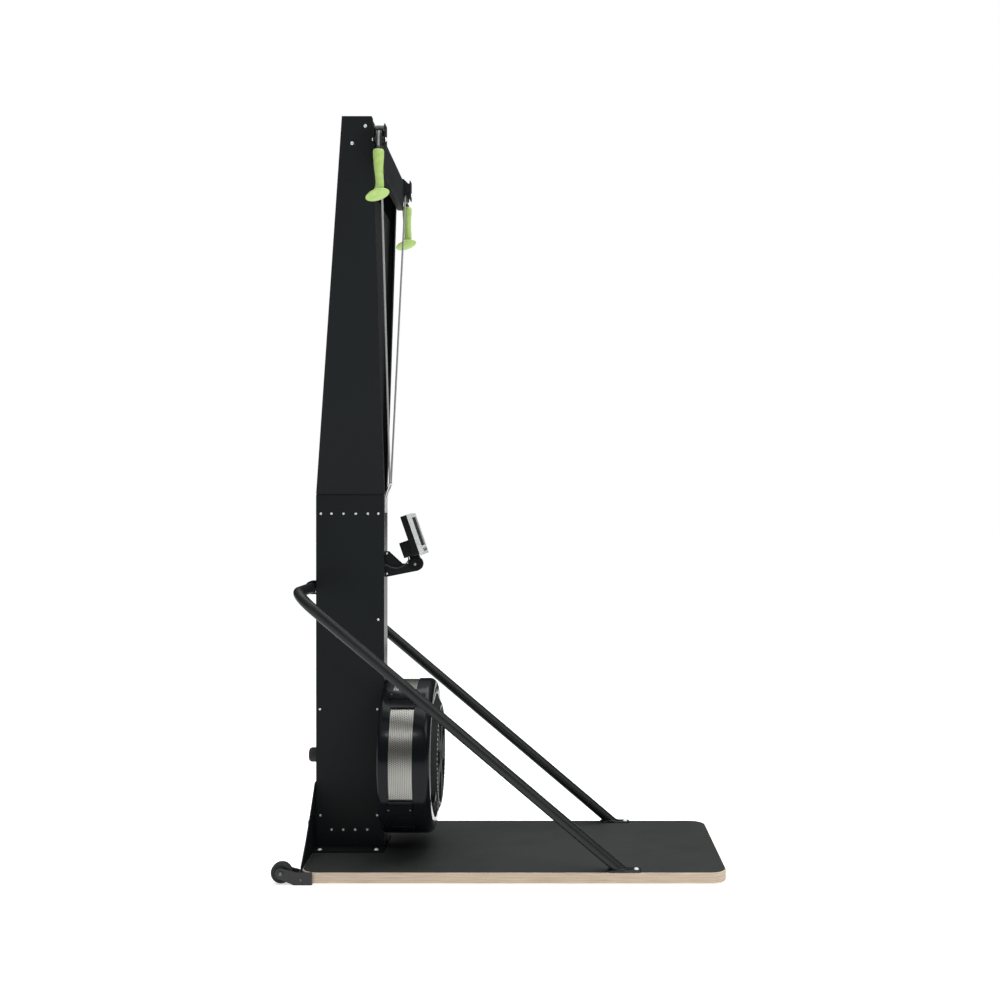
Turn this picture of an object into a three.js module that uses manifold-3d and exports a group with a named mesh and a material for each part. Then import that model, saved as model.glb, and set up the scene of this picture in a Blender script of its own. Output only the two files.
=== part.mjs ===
// Ski trainer: a plywood deck carries a sheet-metal column that opens into a V of two wings.
// Two handles hang from pulleys at the top and turn a fan through cords and spools.
// Millimetres, +Z up. The user stands on +X and faces -X, so the left side is -Y.
import * as THREE from 'three';
import { mergeVertices } from 'three/addons/utils/BufferGeometryUtils.js';
import Module from 'manifold-3d';

const wasm = await Module();
wasm.setup();

// Fits and cutting
const seat = 0.3;
const overrun = 20;
const weldDistance = 0.0001;

// Deck
const deckLength = 1205;
const deckWidth = 600;
const deckFrontX = 600;
const plyThickness = 30;
const matThickness = 2;
const matInset = 3;
const deckCorner = 50;
const stripHeight = 4;
const stripDepth = 50;
const stripLength = 440;
const stripInset = 60;

// Column
const columnSetback = 205;
const columnWidth = 84;
const seamHeight = 1097;
const sheet = 2;
const channelFlange = 23;
const channelStop = 7;
const basePlateThickness = 5;
const basePlateWidth = 194;
const baseFrontReach = 5;
const upstandHeight = 74;
const upstandEndGap = 5;
const baseBoltHole = 9;
const baseBoltSpread = 162;
const baseBoltInset = 18;

// Rear gusset
const gussetThickness = 4;
const gussetHeight = 233;
const gussetEndGap = 3;
const gussetShoulderShare = 0.641;
const gussetShoulderHeight = 101;
const gussetToeHeight = 42;
const gussetFootHeight = 6;

// Wings and the panels between them
const machineHeight = 2157;
const wingTopDepth = 84;
const wingTopWidth = 628;
const wingFrontFlange = 26;
const wingRearFlange = 15;
const skirtLength = 87;
const jogHeight = 4;
const vPanelRecess = 20;
const vPanelRise = 53;
const vPanelDrop = 174;
const rearPanelFlange = 15;
const capLip = 12;
const capThickness = 2;

// Header beam and pulley brackets
const headerDepth = 20;
const headerDrop = 129;
const headerHeight = 95;
const headerEndInset = 9;
const headerWall = 2;
const cheekThickness = 3;
const bracketReach = 42;
const bracketDrop = 31;
const bracketRise = 47;
const cordWay = 24;
const cheekSlope = 22;
const earReach = 45;
const earDrop = 19;
const earRise = 42;
const earSetback = 8;
const spacerRadius = 3.5;
const spacerDrop = 8;
const spacerSpread = 16;
const pulleyPinRadius = 4;

// Pulleys, cords and handles
const pulleyReach = 25;
const pulleyRise = 57;
const pulleyOffset = 33;
const pulleyRim = 24;
const pulleyWidth = 16;
const pulleyHub = 8;
const pulleyLip = 2.5;
const cordDiameter = 6;
const cordBend = 22;
const handleDrop = 34;
const handleLength = 147;
const gripTopRadius = 15.5;
const flangeLength = 69;
const flangeWidth = 46;
const flangeThickness = 15;
const flangeRoll = 13;
const flangePitch = 10;
const flangeDrop = 135.6;
const ferruleRadius = 7;
const ferruleLength = 10.7;
const ferruleWall = 1;

// Cord guide at the foot of the V
const guideRise = 33;
const guideSpread = 26;
const guideReach = 14;
const guideRingRadius = 7;
const guideWire = 1.6;
const guidePlateWidth = 40;
const guidePlateHeight = 46;
const guidePlateThickness = 3;

// Stay tubes
const stayDiameter = 31.8;
const stayInset = 18;
const stayGap = 1.4;
const stayRearDrop = 280;
const stayFootSetback = 300;
const stayBend = 70;
const stayPlateThickness = 4;
const stayPlateWidth = 36;
const stayPlateAhead = 56;
const stayPlateBehind = 38;
const stayBoltAhead = 43;
const stayBoltHole = 9;
const clampWidth = 40;
const clampThickness = 4;
const clampEar = 22;

// Fan
const facets = 40;
const fanAxleHeight = 309;
const fanRadius = 231;
const fanShellWall = 2.5;
const rearShellDepth = 33.7;
const bandWidth = 69;
const bandTuck = 6;
const bandThickness = 1.5;
const frontShellDepth = 51;
const frontShellRound = 22;
const rearShellRound = 12;
const coverRadius = 185;
const coverStand = 14;
const coverWall = 3;
const coverRimWidth = 9;
const lugOuterRadius = 236;
const lugTuck = 8;
const lugUpperAngle = 53;
const lugLowerAngle = -28;
const shellBore = 30;
const ventCount = 24;
const ventRadius = 4.5;
const ventCircle = 163;
const intakeCount = 5;
const intakeInner = 52;
const intakeOuter = 140;
const damperBoss = 20;
const damperThickness = 3;
const damperRadius = 150;
const damperTravel = 36;
const leverAngle = -35;
const leverWidth = 22;
const leverReach = 212;
const slotClearance = 1;
const bladeCount = 16;
const bladeRadius = 203;
const bladeWidth = 82;
const bladeThickness = 3;
const bladeSweep = 14;
const wheelHub = 34;
const backPlateThickness = 3;
const backPlateGap = 9;
const shaftRadius = 10;
const shaftNose = 41;
const shaftTail = 7;

// Bearings, spools and return cords inside the column
const bearingRadius = 34;
const bearingWidth = 14;
const bearingBore = 10.3;
const shaftHole = 14;
const endCapRadius = 22;
const endCapDepth = 27;
const endCapWall = 3;
const spoolSetbacks = [70, 100];
const spoolFlange = 36;
const spoolCore = 25.7;
const spoolWidth = 24;
const spoolWall = 2;
const spoolCordLine = 29;
const anchorDrop = 142;
const anchorThickness = 8;
const anchorDepth = 80;
const returnCordDiameter = 6;

// Transport wheels
const wheelReach = 53;
const wheelClearance = 2;
const wheelRadius = 30;
const wheelWidth = 26;
const treadChamfer = 5;
const wheelInset = 15;
const wheelHubRadius = 9;
const wheelAxleRadius = 4;
const axleHeadRadius = 7.5;
const axleHeadLength = 3;
const bracketPlate = 4;
const bracketLobe = 16;
const bracketWrap = 35;
const innerCheekGap = 3;

// Monitor
const monitorTilt = 19;
const pivotReach = 91;
const pivotDrop = 208.5;
const armCheekGap = 32;
const armCheekThickness = 3;
const armLobe = 22;
const armDrop = 38.5;
const armRise = 37.5;
const armNeckReach = 49;
const armFootReach = 8;
const pivotBoltRadius = 4;
const pivotHeadRadius = 8;
const pivotHeadLength = 4;
const monitorWidth = 160;
const caseRear = 10;
const caseFront = 28.7;
const caseBottom = 24.5;
const caseTop = 148;
const caseCorner = 8;
const bezelFront = 41;
const bezelBottom = 19;
const windowWidth = 126;
const windowBottom = 46;
const windowTop = 136;
const screenRecess = 2;
const batteryRear = -22;
const batteryBottom = 27;
const batteryTop = 75;
const batteryWidth = 104;
const knuckleRadius = 19;
const buttonRadius = 5;
const buttonCount = 3;
const buttonPitch = 36;
const buttonHeight = 33;
const buttonProud = 2;
const buttonTravel = 1.5;
const cableDiameter = 4;
const cableY = -28;
const cableExitDrop = 3.5;
const grommetRadius = 5;
const grommetLength = 4;

// Places that follow from the sizes
const deckRearX = deckFrontX - deckLength;
const plyTop = stripHeight + plyThickness;
const matTop = plyTop + matThickness;
const columnFrontX = deckRearX + columnSetback;
const columnRearX = deckRearX + seat;
const columnDepth = columnFrontX - columnRearX;
const columnHalf = columnWidth / 2;
const columnFoot = matTop + basePlateThickness;
const innerHalf = columnHalf - sheet - seat;
const wingTaper = (wingTopWidth - columnWidth) / 2 / (machineHeight - seamHeight);
const wingLean = (columnDepth - wingTopDepth) / (machineHeight - seamHeight);
const vPanelBottom = seamHeight + vPanelRise;
const vPanelTop = machineHeight - vPanelDrop;
const headerBottom = machineHeight - headerDrop;
const headerLength = wingTopWidth - 2 * headerEndInset;
const pulleyX = columnFrontX + pulleyReach;
const pulleyHeight = headerBottom + pulleyRise;
const pulleySpread = headerLength + 2 * pulleyOffset;
const bracketBottom = pulleyHeight - bracketDrop;
const bracketTop = pulleyHeight + bracketRise;
const handleTop = pulleyHeight - handleDrop;
const guideX = columnFrontX + guideReach;
const guideHeight = seamHeight + guideRise;
const staySpread = deckWidth - 2 * stayInset;
const stayRearX = columnRearX - stayGap - stayDiameter / 2;
const stayRearHeight = seamHeight - stayRearDrop;
const stayFootX = deckFrontX - stayFootSetback;
const fanRearX = columnFrontX + seat;
const rearRimX = fanRearX + rearShellDepth;
const frontRimX = rearRimX + bandWidth;
const frontFaceX = frontRimX + frontShellDepth;
const coverFaceX = frontFaceX + coverStand;
const bandOuter = fanRadius - fanShellWall - seat;
const spoolX = spoolSetbacks.map((setback) => columnFrontX - setback);
const wheelX = deckRearX - wheelReach;
const wheelHeight = wheelRadius + wheelClearance;
const wheelSpread = deckWidth - 2 * wheelInset;
const wheelRearReach = wheelX - wheelRadius;
const bracketInnerY = wheelSpread / 2 - wheelWidth / 2 - innerCheekGap - bracketPlate;
const pivotX = columnFrontX + pivotReach;
const pivotHeight = seamHeight - pivotDrop;
const cableExitHeight = pivotHeight - cableExitDrop;

const steel = finish(0x1b1e20, 0.5, 0.35);
const plastic = finish(0x141618, 0.35, 0);
const rubber = finish(0x202224, 0.85, 0);
const plywood = finish(0xd8c3a0, 0.7, 0);
const silver = finish(0xb9bab5, 0.35, 0.9);
const lime = finish(0xa4d65e, 0.55, 0);
const greyPlastic = finish(0xc9cbcb, 0.5, 0);
const glass = finish(0x20262a, 0.1, 0);
const webbing = finish(0x101112, 0.8, 0);

const machine = new THREE.Group();
machine.position.x = -(wheelRearReach + deckFrontX) / 2;

function finish(color, roughness, metalness) {
  return new THREE.MeshStandardMaterial({ color, roughness, metalness });
}

// Welds shared corners, drops empty triangles and turns the faces outwards.
function tidy(geometry) {
  const bare = geometry.clone();
  bare.deleteAttribute('normal');
  bare.deleteAttribute('uv');
  const merged = mergeVertices(bare, weldDistance);
  const place = merged.getAttribute('position');
  const corners = merged.index.array;
  const kept = [];
  const [a, b, c] = [new THREE.Vector3(), new THREE.Vector3(), new THREE.Vector3()];
  let volume = 0;
  for (let i = 0; i < corners.length; i += 3) {
    const [ia, ib, ic] = [corners[i], corners[i + 1], corners[i + 2]];
    if (ia === ib || ib === ic || ic === ia) continue;
    kept.push([ia, ib, ic]);
    a.fromBufferAttribute(place, ia);
    b.fromBufferAttribute(place, ib);
    c.fromBufferAttribute(place, ic);
    volume += a.dot(b.cross(c));
  }
  const turned = volume < 0 ? kept.map(([p, q, r]) => [p, r, q]) : kept;
  merged.setIndex(turned.flat());
  return merged;
}

function toManifold(geometry) {
  const clean = tidy(geometry);
  const vertProperties = new Float32Array(clean.getAttribute('position').array);
  const triVerts = new Uint32Array(clean.index.array);
  return new wasm.Manifold(new wasm.Mesh({ numProp: 3, vertProperties, triVerts }));
}

function toGeometry(manifold) {
  const mesh = manifold.getMesh();
  const geometry = new THREE.BufferGeometry();
  geometry.setAttribute('position', new THREE.BufferAttribute(mesh.vertProperties, mesh.numProp));
  geometry.setIndex(Array.from(mesh.triVerts));
  return geometry;
}

function join(...geometries) {
  return toGeometry(geometries.map(toManifold).reduce((whole, next) => whole.add(next)));
}

function cut(geometry, ...tools) {
  return toGeometry(tools.map(toManifold).reduce((left, tool) => left.subtract(tool), toManifold(geometry)));
}

function piece(name, geometry, material, parent = machine) {
  const mesh = new THREE.Mesh(tidy(geometry), material);
  mesh.name = name;
  parent.add(mesh);
  return mesh;
}

function outline(points) {
  return new THREE.Shape(points.map(([u, v]) => new THREE.Vector2(u, v)));
}

function circle(u, v, radius, sides) {
  const corners = Array.from({ length: sides }, (_, i) => (2 * Math.PI * i) / sides);
  return corners.map((angle) => [u + radius * Math.cos(angle), v + radius * Math.sin(angle)]);
}

// An outline with holes, extruded along the third axis of a frame of unit vectors.
function slab(shape, depth, frame, holes = [], curveSegments = 12) {
  const drawn = shape instanceof THREE.Shape ? shape : outline(shape);
  drawn.holes.push(...holes.map((points) => outline(points)));
  const geometry = new THREE.ExtrudeGeometry(drawn, { depth, bevelEnabled: false, curveSegments });
  return geometry.applyMatrix4(frame);
}

const axisX = new THREE.Vector3(1, 0, 0);
const axisY = new THREE.Vector3(0, 1, 0);
const axisZ = new THREE.Vector3(0, 0, 1);
const frameXY = new THREE.Matrix4();
const frameYZ = new THREE.Matrix4().makeBasis(axisY, axisZ, axisX);
const frameXZ = new THREE.Matrix4().makeBasis(axisX, axisZ, axisY.clone().negate());
const frameTurnedX = new THREE.Matrix4().makeBasis(axisZ, axisX, axisY);
const frameTurnedZ = new THREE.Matrix4().makeBasis(axisY, axisZ, axisX);

// Slabs named by the plane of their outline: points are (x, y), (y, z) or (x, z).
function slabXY(shape, z0, z1, holes, segments) {
  return slab(shape, z1 - z0, frameXY, holes, segments).translate(0, 0, z0);
}

function slabYZ(shape, x0, x1, holes, segments) {
  return slab(shape, x1 - x0, frameYZ, holes, segments).translate(x0, 0, 0);
}

function slabXZ(shape, y0, y1, holes, segments) {
  return slab(shape, y1 - y0, frameXZ, holes, segments).translate(0, y1, 0);
}

function block(x0, x1, y0, y1, z0, z1) {
  const box = new THREE.BoxGeometry(x1 - x0, y1 - y0, z1 - z0);
  return box.translate((x0 + x1) / 2, (y0 + y1) / 2, (z0 + z1) / 2);
}

function rectangle(u0, u1, v0, v1) {
  return [[u0, v0], [u1, v0], [u1, v1], [u0, v1]];
}

// A rectangle with round corners, centred at (u, v).
function roundedRectangle(u, v, width, height, radius) {
  const [halfU, halfV] = [width / 2 - radius, height / 2 - radius];
  const shape = new THREE.Shape();
  shape.absarc(u + halfU, v + halfV, radius, 0, Math.PI / 2);
  shape.absarc(u - halfU, v + halfV, radius, Math.PI / 2, Math.PI);
  shape.absarc(u - halfU, v - halfV, radius, Math.PI, Math.PI * 1.5);
  shape.absarc(u + halfU, v - halfV, radius, Math.PI * 1.5, Math.PI * 2);
  return shape;
}

// A profile of (radius, along) points turned about an axis along X or Z.
function turned(profile, frame, sides) {
  const points = profile.map(([radius, along]) => new THREE.Vector2(radius, along));
  return new THREE.LatheGeometry(points, sides).applyMatrix4(frame);
}

function turnedX(profile, y, z, sides) {
  return turned([...profile, profile[0]], frameTurnedX, sides).translate(0, y, z);
}

function rodX(radius, x0, x1, y, z, sides = 16) {
  return slabYZ(circle(y, z, radius, sides), x0, x1);
}

function rodY(radius, x, z, y0, y1, sides = 16) {
  return slabXZ(circle(x, z, radius, sides), y0, y1);
}

function mirrored(geometry, side) {
  return side > 0 ? geometry : geometry.clone().scale(1, -1, 1);
}

// Joins rings of equal length into one closed body; the section triangulates both ends.
function loft(section, rings) {
  const contour = section.map(([u, v]) => new THREE.Vector2(u, v));
  if (THREE.ShapeUtils.isClockWise(contour)) {
    return loft([...section].reverse(), rings.map((ring) => [...ring].reverse()));
  }
  const ends = THREE.ShapeUtils.triangulateShape(contour, []);
  const count = section.length;
  const last = (rings.length - 1) * count;
  const corners = [];
  for (let ring = 0; ring < rings.length - 1; ring++) {
    for (let i = 0; i < count; i++) {
      const [low, next] = [ring * count + i, ring * count + ((i + 1) % count)];
      corners.push(low, next, next + count, low, next + count, low + count);
    }
  }
  ends.forEach(([p, q, r]) => corners.push(r, q, p, last + p, last + q, last + r));
  const geometry = new THREE.BufferGeometry();
  geometry.setAttribute('position', new THREE.Float32BufferAttribute(rings.flat(2), 3));
  geometry.setIndex(corners);
  return geometry;
}

// A round tube through points, with its rings carried along without twist.
function tube(points, radius, sides) {
  const path = points.map((point) => new THREE.Vector3(...point));
  const section = circle(0, 0, radius, sides);
  const heading = path.map((point, i) => {
    const before = path[Math.max(i - 1, 0)];
    const after = path[Math.min(i + 1, path.length - 1)];
    const arriving = point.clone().sub(before).normalize();
    const leaving = after.clone().sub(point).normalize();
    return arriving.add(leaving).normalize();
  });
  const across = Math.abs(heading[0].x) > Math.abs(heading[0].y) ? axisY : axisX;
  let side = across.clone().cross(heading[0]).normalize();
  const rings = path.map((point, i) => {
    side = side.clone().addScaledVector(heading[i], -side.dot(heading[i])).normalize();
    const up = heading[i].clone().cross(side);
    return section.map(([u, v]) => point.clone().addScaledVector(side, u).addScaledVector(up, v).toArray());
  });
  return loft(section, rings);
}

const sides = [['left', -1], ['right', 1]];

// Deck: a plywood board with a rubber mat on top and two rubber strips below.
function makeDeck() {
  const centreX = (deckFrontX + deckRearX) / 2;
  const board = roundedRectangle(centreX, 0, deckLength, deckWidth, deckCorner);
  const mat = roundedRectangle(
    centreX, 0, deckLength - 2 * matInset, deckWidth - 2 * matInset, deckCorner - matInset);
  piece('deck_board', slabXY(board, stripHeight, plyTop, [], 6), plywood);
  piece('deck_mat', slabXY(mat, plyTop, matTop, [], 6), rubber);
  [['front', deckFrontX - stripInset - stripDepth], ['rear', deckRearX + stripInset]].forEach(([end, x]) => {
    const strip = block(x, x + stripDepth, -stripLength / 2, stripLength / 2, 0, stripHeight);
    piece(`foot_strip_${end}`, strip, rubber);
  });
}

// Base plate under the column, with two upstands that the side panels are screwed to.
function makeBase() {
  const plateX = [columnRearX, columnFrontX + baseFrontReach];
  const half = basePlateWidth / 2;
  const boltX = [columnRearX + baseBoltInset, columnFrontX - baseBoltInset];
  const holes = boltX.flatMap((x) => [-1, 1].map((s) => {
    return circle(x, s * baseBoltSpread / 2, baseBoltHole / 2, 12);
  }));
  const plate = slabXY(rectangle(plateX[0], plateX[1], -half, half), matTop, columnFoot, holes);
  const standX = [
    columnRearX + sheet + channelFlange + upstandEndGap,
    columnFrontX - sheet - channelFlange - upstandEndGap,
  ];
  const stands = [-1, 1].map((s) => mirrored(block(
    standX[0], standX[1], innerHalf - sheet, innerHalf, matTop, columnFoot + upstandHeight), s));
  piece('column_base', join(plate, ...stands), steel);

  const [rear, front] = [deckRearX - seat - gussetThickness, deckRearX - seat];
  const toe = [bracketInnerY - gussetEndGap, gussetToeHeight];
  const shoulder = [gussetShoulderShare * toe[0], gussetShoulderHeight];
  const shape = new THREE.Shape();
  shape.moveTo(-toe[0], gussetFootHeight);
  shape.lineTo(toe[0], gussetFootHeight);
  shape.lineTo(...toe);
  shape.quadraticCurveTo(...shoulder, columnHalf, gussetHeight);
  shape.lineTo(-columnHalf, gussetHeight);
  shape.quadraticCurveTo(-shoulder[0], shoulder[1], -toe[0], toe[1]);
  piece('rear_gusset', slabYZ(shape, rear, front, [], 10), steel);
}

// Lower column: two side panels, and a front and a rear channel between them.
function makeColumn() {
  sides.forEach(([name, s]) => {
    const panel = block(columnRearX, columnFrontX, columnHalf - sheet, columnHalf, columnFoot, seamHeight);
    piece(`column_side_${name}`, mirrored(panel, s), steel);
  });
  const channel = (web, inward) => [
    [web, -innerHalf], [web, innerHalf], [web + inward * (sheet + channelFlange), innerHalf],
    [web + inward * (sheet + channelFlange), innerHalf - sheet], [web + inward * sheet, innerHalf - sheet],
    [web + inward * sheet, sheet - innerHalf], [web + inward * (sheet + channelFlange), sheet - innerHalf],
    [web + inward * (sheet + channelFlange), -innerHalf],
  ];
  const top = seamHeight - channelStop;
  const front = slabXY(channel(columnFrontX, -1), columnFoot, top);
  const rear = slabXY(channel(columnRearX, 1), columnFoot, top);
  const shaftWay = (x) => rodX(shaftHole, x - overrun, x + overrun, 0, fanAxleHeight, 20);
  const cableWay = rodX(
    cableDiameter / 2 + seat, columnFrontX - overrun, columnFrontX + overrun, cableY, cableExitHeight, 10);
  piece('column_front_plate', cut(front, shaftWay(columnFrontX), cableWay), steel);
  piece('column_rear_plate', cut(rear, shaftWay(columnRearX)), steel);
}

function wingHalf(z) {
  return columnHalf + Math.max(z - seamHeight, 0) * wingTaper;
}

function wingRear(z) {
  return columnRearX + Math.max(z - seamHeight, 0) * wingLean;
}

// One level of a C-shaped sheet: its outer face at y, its flanges turned inwards.
function wingSection(rear, front, y, frontFlange, rearFlange) {
  return [
    [rear, y], [front, y], [front, y - frontFlange], [front - sheet, y - frontFlange],
    [front - sheet, y - sheet], [rear + sheet, y - sheet], [rear + sheet, y - rearFlange],
    [rear, y - rearFlange],
  ];
}

// One level of a U-shaped sheet across the V, its two flanges pointing towards tipX.
function panelSection(webX, tipX, half) {
  const inward = Math.sign(tipX - webX) * sheet;
  return [
    [webX, -half], [webX, half], [tipX, half], [tipX, half - sheet],
    [webX + inward, half - sheet], [webX + inward, sheet - half], [tipX, sheet - half], [tipX, -half],
  ];
}

function loftLevels(levels) {
  const rings = levels.map(([z, section]) => section.map(([x, y]) => [x, y, z]));
  return loft(levels[0][1], rings);
}

// Wings: folded sheets that start as a skirt inside the column and flare apart upwards.
function makeWings() {
  const skirtEnds = [
    columnRearX + sheet + channelFlange + upstandEndGap / 2,
    columnFrontX - sheet - channelFlange - upstandEndGap / 2,
  ];
  const skirt = wingSection(...skirtEnds, innerHalf, wingRearFlange, wingRearFlange);
  const level = (z) => {
    return wingSection(wingRear(z), columnFrontX, wingHalf(z), wingFrontFlange, wingRearFlange);
  };
  const foldLow = seamHeight;
  const foldHigh = seamHeight + jogHeight;
  const wing = loftLevels([
    [seamHeight - skirtLength, skirt], [foldLow, skirt],
    [foldHigh, level(foldHigh)], [machineHeight, level(machineHeight)],
  ]);
  sides.forEach(([name, s]) => piece(`wing_${name}`, mirrored(wing, s), steel));

  const frontWeb = columnFrontX - vPanelRecess;
  const frontTip = columnFrontX - sheet - seat;
  const front = [vPanelBottom, vPanelTop].map((z) => {
    return [z, panelSection(frontWeb, frontTip, wingHalf(z) - sheet - seat)];
  });
  piece('v_front_panel', loftLevels(front), steel);

  const rear = [seamHeight + jogHeight + sheet, machineHeight - capLip - seat].map((z) => {
    const web = wingRear(z) + sheet + seat;
    return [z, panelSection(web, web + rearPanelFlange, wingHalf(z) - sheet - seat)];
  });
  piece('v_rear_panel', loftLevels(rear), steel);

  const capBottom = machineHeight - capLip;
  const half = wingHalf(capBottom) - sheet - seat;
  const [back, fore] = [wingRear(machineHeight) + sheet + seat, columnFrontX - sheet - seat];
  const pan = [
    [back, capBottom], [back + capThickness, capBottom], [back + capThickness, machineHeight - capThickness],
    [fore - capThickness, machineHeight - capThickness], [fore - capThickness, capBottom],
    [fore, capBottom], [fore, machineHeight], [back, machineHeight],
  ];
  piece('top_cap', slabXZ(pan, -half, half), steel);
}

// Header beam: a rectangular tube across the front of the V, open at both ends.
function makeHeader() {
  const [rear, front] = [columnFrontX, columnFrontX + headerDepth];
  const [low, high] = [headerBottom, headerBottom + headerHeight];
  const bore = rectangle(rear + headerWall, front - headerWall, low + headerWall, high - headerWall);
  const beam = slabXZ(rectangle(rear, front, low, high), -headerLength / 2, headerLength / 2, [bore]);
  piece('header_beam', beam, steel);
}

// Pulley brackets: a cheek on the beam's end, two ears, two spacer bars and the fixed pin.
function makePulleyBrackets() {
  const inner = headerLength / 2 + seat;
  const tip = columnFrontX + bracketReach;
  const notchX = pulleyX - cordDiameter;
  const notchTop = bracketBottom + cordWay;
  const cheek = slabXZ([
    [columnFrontX, bracketBottom], [notchX, bracketBottom], [notchX, notchTop], [tip, notchTop],
    [tip, bracketTop - cheekSlope], [tip - cheekSlope, bracketTop], [columnFrontX, bracketTop],
  ], inner, inner + cheekThickness);
  const earTop = pulleyHeight + earRise;
  const earHeight = earRise + earDrop;
  const ear = (x) => slabYZ(
    roundedRectangle(inner + earReach / 2, earTop - earHeight / 2, earReach, earHeight, spacerRadius),
    x, x + cheekThickness, [], 3);
  const earRear = columnFrontX + earSetback;
  const pin = rodX(
    pulleyPinRadius, earRear - cheekThickness, tip + cheekThickness, pulleySpread / 2, pulleyHeight, 12);
  const barY = inner + earReach - spacerDrop;
  const bars = [0, spacerSpread].map((shift) => {
    return rodX(spacerRadius, earRear, tip, barY - shift, earTop - spacerDrop, 10);
  });
  const bracket = join(cheek, ear(earRear), ear(tip - cheekThickness), pin, ...bars);
  sides.forEach(([name, s]) => piece(`pulley_bracket_${name}`, mirrored(bracket, s), steel));
  return { rear: earRear + cheekThickness, front: tip - cheekThickness };
}

// Pulleys: a grooved rim, a thin web and a hub that runs on the bracket's pin.
function makePulleys(ears) {
  const [back, fore] = [pulleyX - pulleyWidth / 2, pulleyX + pulleyWidth / 2];
  const bore = pulleyPinRadius + seat;
  const groove = cordBend - cordDiameter / 2 - seat;
  const cheekIn = cordDiameter / 2 + seat;
  const profile = [
    [bore, ears.rear + seat], [pulleyHub, ears.rear + seat], [pulleyHub, back], [pulleyRim, back],
    [pulleyRim, back + pulleyLip], [groove, pulleyX - cheekIn], [groove, pulleyX + cheekIn],
    [pulleyRim, fore - pulleyLip], [pulleyRim, fore], [pulleyHub, fore],
    [pulleyHub, ears.front - seat], [bore, ears.front - seat],
  ];
  sides.forEach(([name, s]) => {
    piece(`pulley_${name}`, turnedX(profile, s * pulleySpread / 2, pulleyHeight, 20), plastic);
  });
}

// Where a line from the guide touches the cord's circle on the pulley, as an angle from the outside.
function pulleyWrap(guideY) {
  const away = [guideY - pulleySpread / 2, guideHeight - pulleyHeight];
  const bearing = Math.atan2(away[1], away[0]) + 2 * Math.PI;
  return bearing - Math.acos(cordBend / Math.hypot(...away));
}

// Drive cords: over the pulley, down the V, through the guide and down to the spool.
function makeDriveCords() {
  const wrapSteps = 8;
  const guideY = guideSpread / 2;
  const wrap = pulleyWrap(guideY);
  const entryShares = [[0.71, 0.97, 0.61], [0.14, 0.94, 0.24], [-0.39, 0.92, -0.12], [-0.86, 0.96, -0.64]];
  const entry = entryShares.map(([x, y, z]) => {
    return [columnFrontX + x * guideReach, y * guideY, seamHeight + z * guideRise];
  });
  sides.forEach(([name, s], which) => {
    const over = Array.from({ length: wrapSteps + 1 }, (_, i) => {
      const angle = (wrap * i) / wrapSteps;
      const y = pulleySpread / 2 + cordBend * Math.cos(angle);
      return [pulleyX, s * y, pulleyHeight + cordBend * Math.sin(angle)];
    });
    const route = [
      [pulleyX, over[0][1], pulleyHeight - cordDiameter], ...over,
      [guideX, s * guideY, guideHeight], ...entry.map(([x, y, z]) => [x, s * y, z]),
      [spoolX[which], -spoolCordLine, fanAxleHeight],
    ];
    piece(`drive_cord_${name}`, tube(route, cordDiameter / 2, 8), webbing);
  });
}

// Handles: a moulded grip that swells at the top and ends in a tilted oval rest for the hand.
function makeHandles() {
  const gripShares = [
    [0, 0], [0.8, 0], [0.97, 0.02], [1.02, 0.08], [0.98, 0.25], [0.86, 0.5], [0.77, 0.68], [0.76, 0.76],
    [0.84, 0.85], [1.05, 0.91], [0, 0.91],
  ];
  const restShares = [[0, 0.5], [0.4, 0.5], [0.82, 0.28], [1, 0], [0.94, -0.22], [0.62, -0.42], [0, -0.5]];
  const profile = gripShares.map(([r, along]) => [r * gripTopRadius, -along * handleLength]);
  const grip = turned(profile, frameTurnedZ, 16);
  const rest = turned(restShares, frameTurnedZ, 20)
    .scale(flangeLength / 2, flangeWidth / 2, flangeThickness)
    .rotateY(THREE.MathUtils.degToRad(-flangeRoll))
    .rotateX(THREE.MathUtils.degToRad(-flangePitch))
    .translate(0, 0, -flangeDrop);
  const handle = join(grip, rest);
  const cordY = pulleySpread / 2 + cordBend;
  const ferruleFoot = handleTop + seat;
  const ferruleHead = ferruleFoot + ferruleLength;
  sides.forEach(([name, s]) => {
    piece(`handle_${name}`, handle.clone().translate(pulleyX, s * cordY, handleTop), lime);
    const ferrule = turned([
      [0, ferruleFoot], [ferruleRadius, ferruleFoot], [ferruleRadius, (ferruleFoot + ferruleHead) / 2],
      [cordDiameter / 2 + ferruleWall, ferruleHead], [0, ferruleHead],
    ], frameTurnedZ, 16);
    piece(`cord_ferrule_${name}`, ferrule.translate(pulleyX, s * cordY, 0), plastic);
    const drop = slabXY(
      circle(pulleyX, s * cordY, cordDiameter / 2, 8),
      ferruleHead + seat, pulleyHeight - cordDiameter - seat);
    piece(`handle_cord_${name}`, drop, webbing);
  });
}

// Cord guide: a plate on the column's front with two wire rings that the cords run through.
function makeCordGuide() {
  const plateTop = seamHeight - channelStop;
  const plate = block(
    columnFrontX, columnFrontX + guidePlateThickness, -guidePlateWidth / 2, guidePlateWidth / 2,
    plateTop - guidePlateHeight, plateTop);
  const wireX = columnFrontX + guidePlateThickness / 2;
  const loops = [-1, 1].flatMap((s) => {
    const ring = new THREE.TorusGeometry(guideRingRadius, guideWire, 6, 12)
      .translate(guideX, s * guideSpread / 2, guideHeight);
    const outer = guideSpread / 2 + guideRingRadius;
    const arm = tube([
      [wireX, s * (guidePlateWidth / 2 - guideWire), plateTop - guideRingRadius],
      [wireX, s * (guidePlateWidth / 2 - guideWire), plateTop + guideWire],
      [guideX, s * outer, guideHeight],
    ], guideWire, 6);
    return [ring, arm];
  });
  piece('cord_guide', join(plate, ...loops), silver);
}

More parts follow.
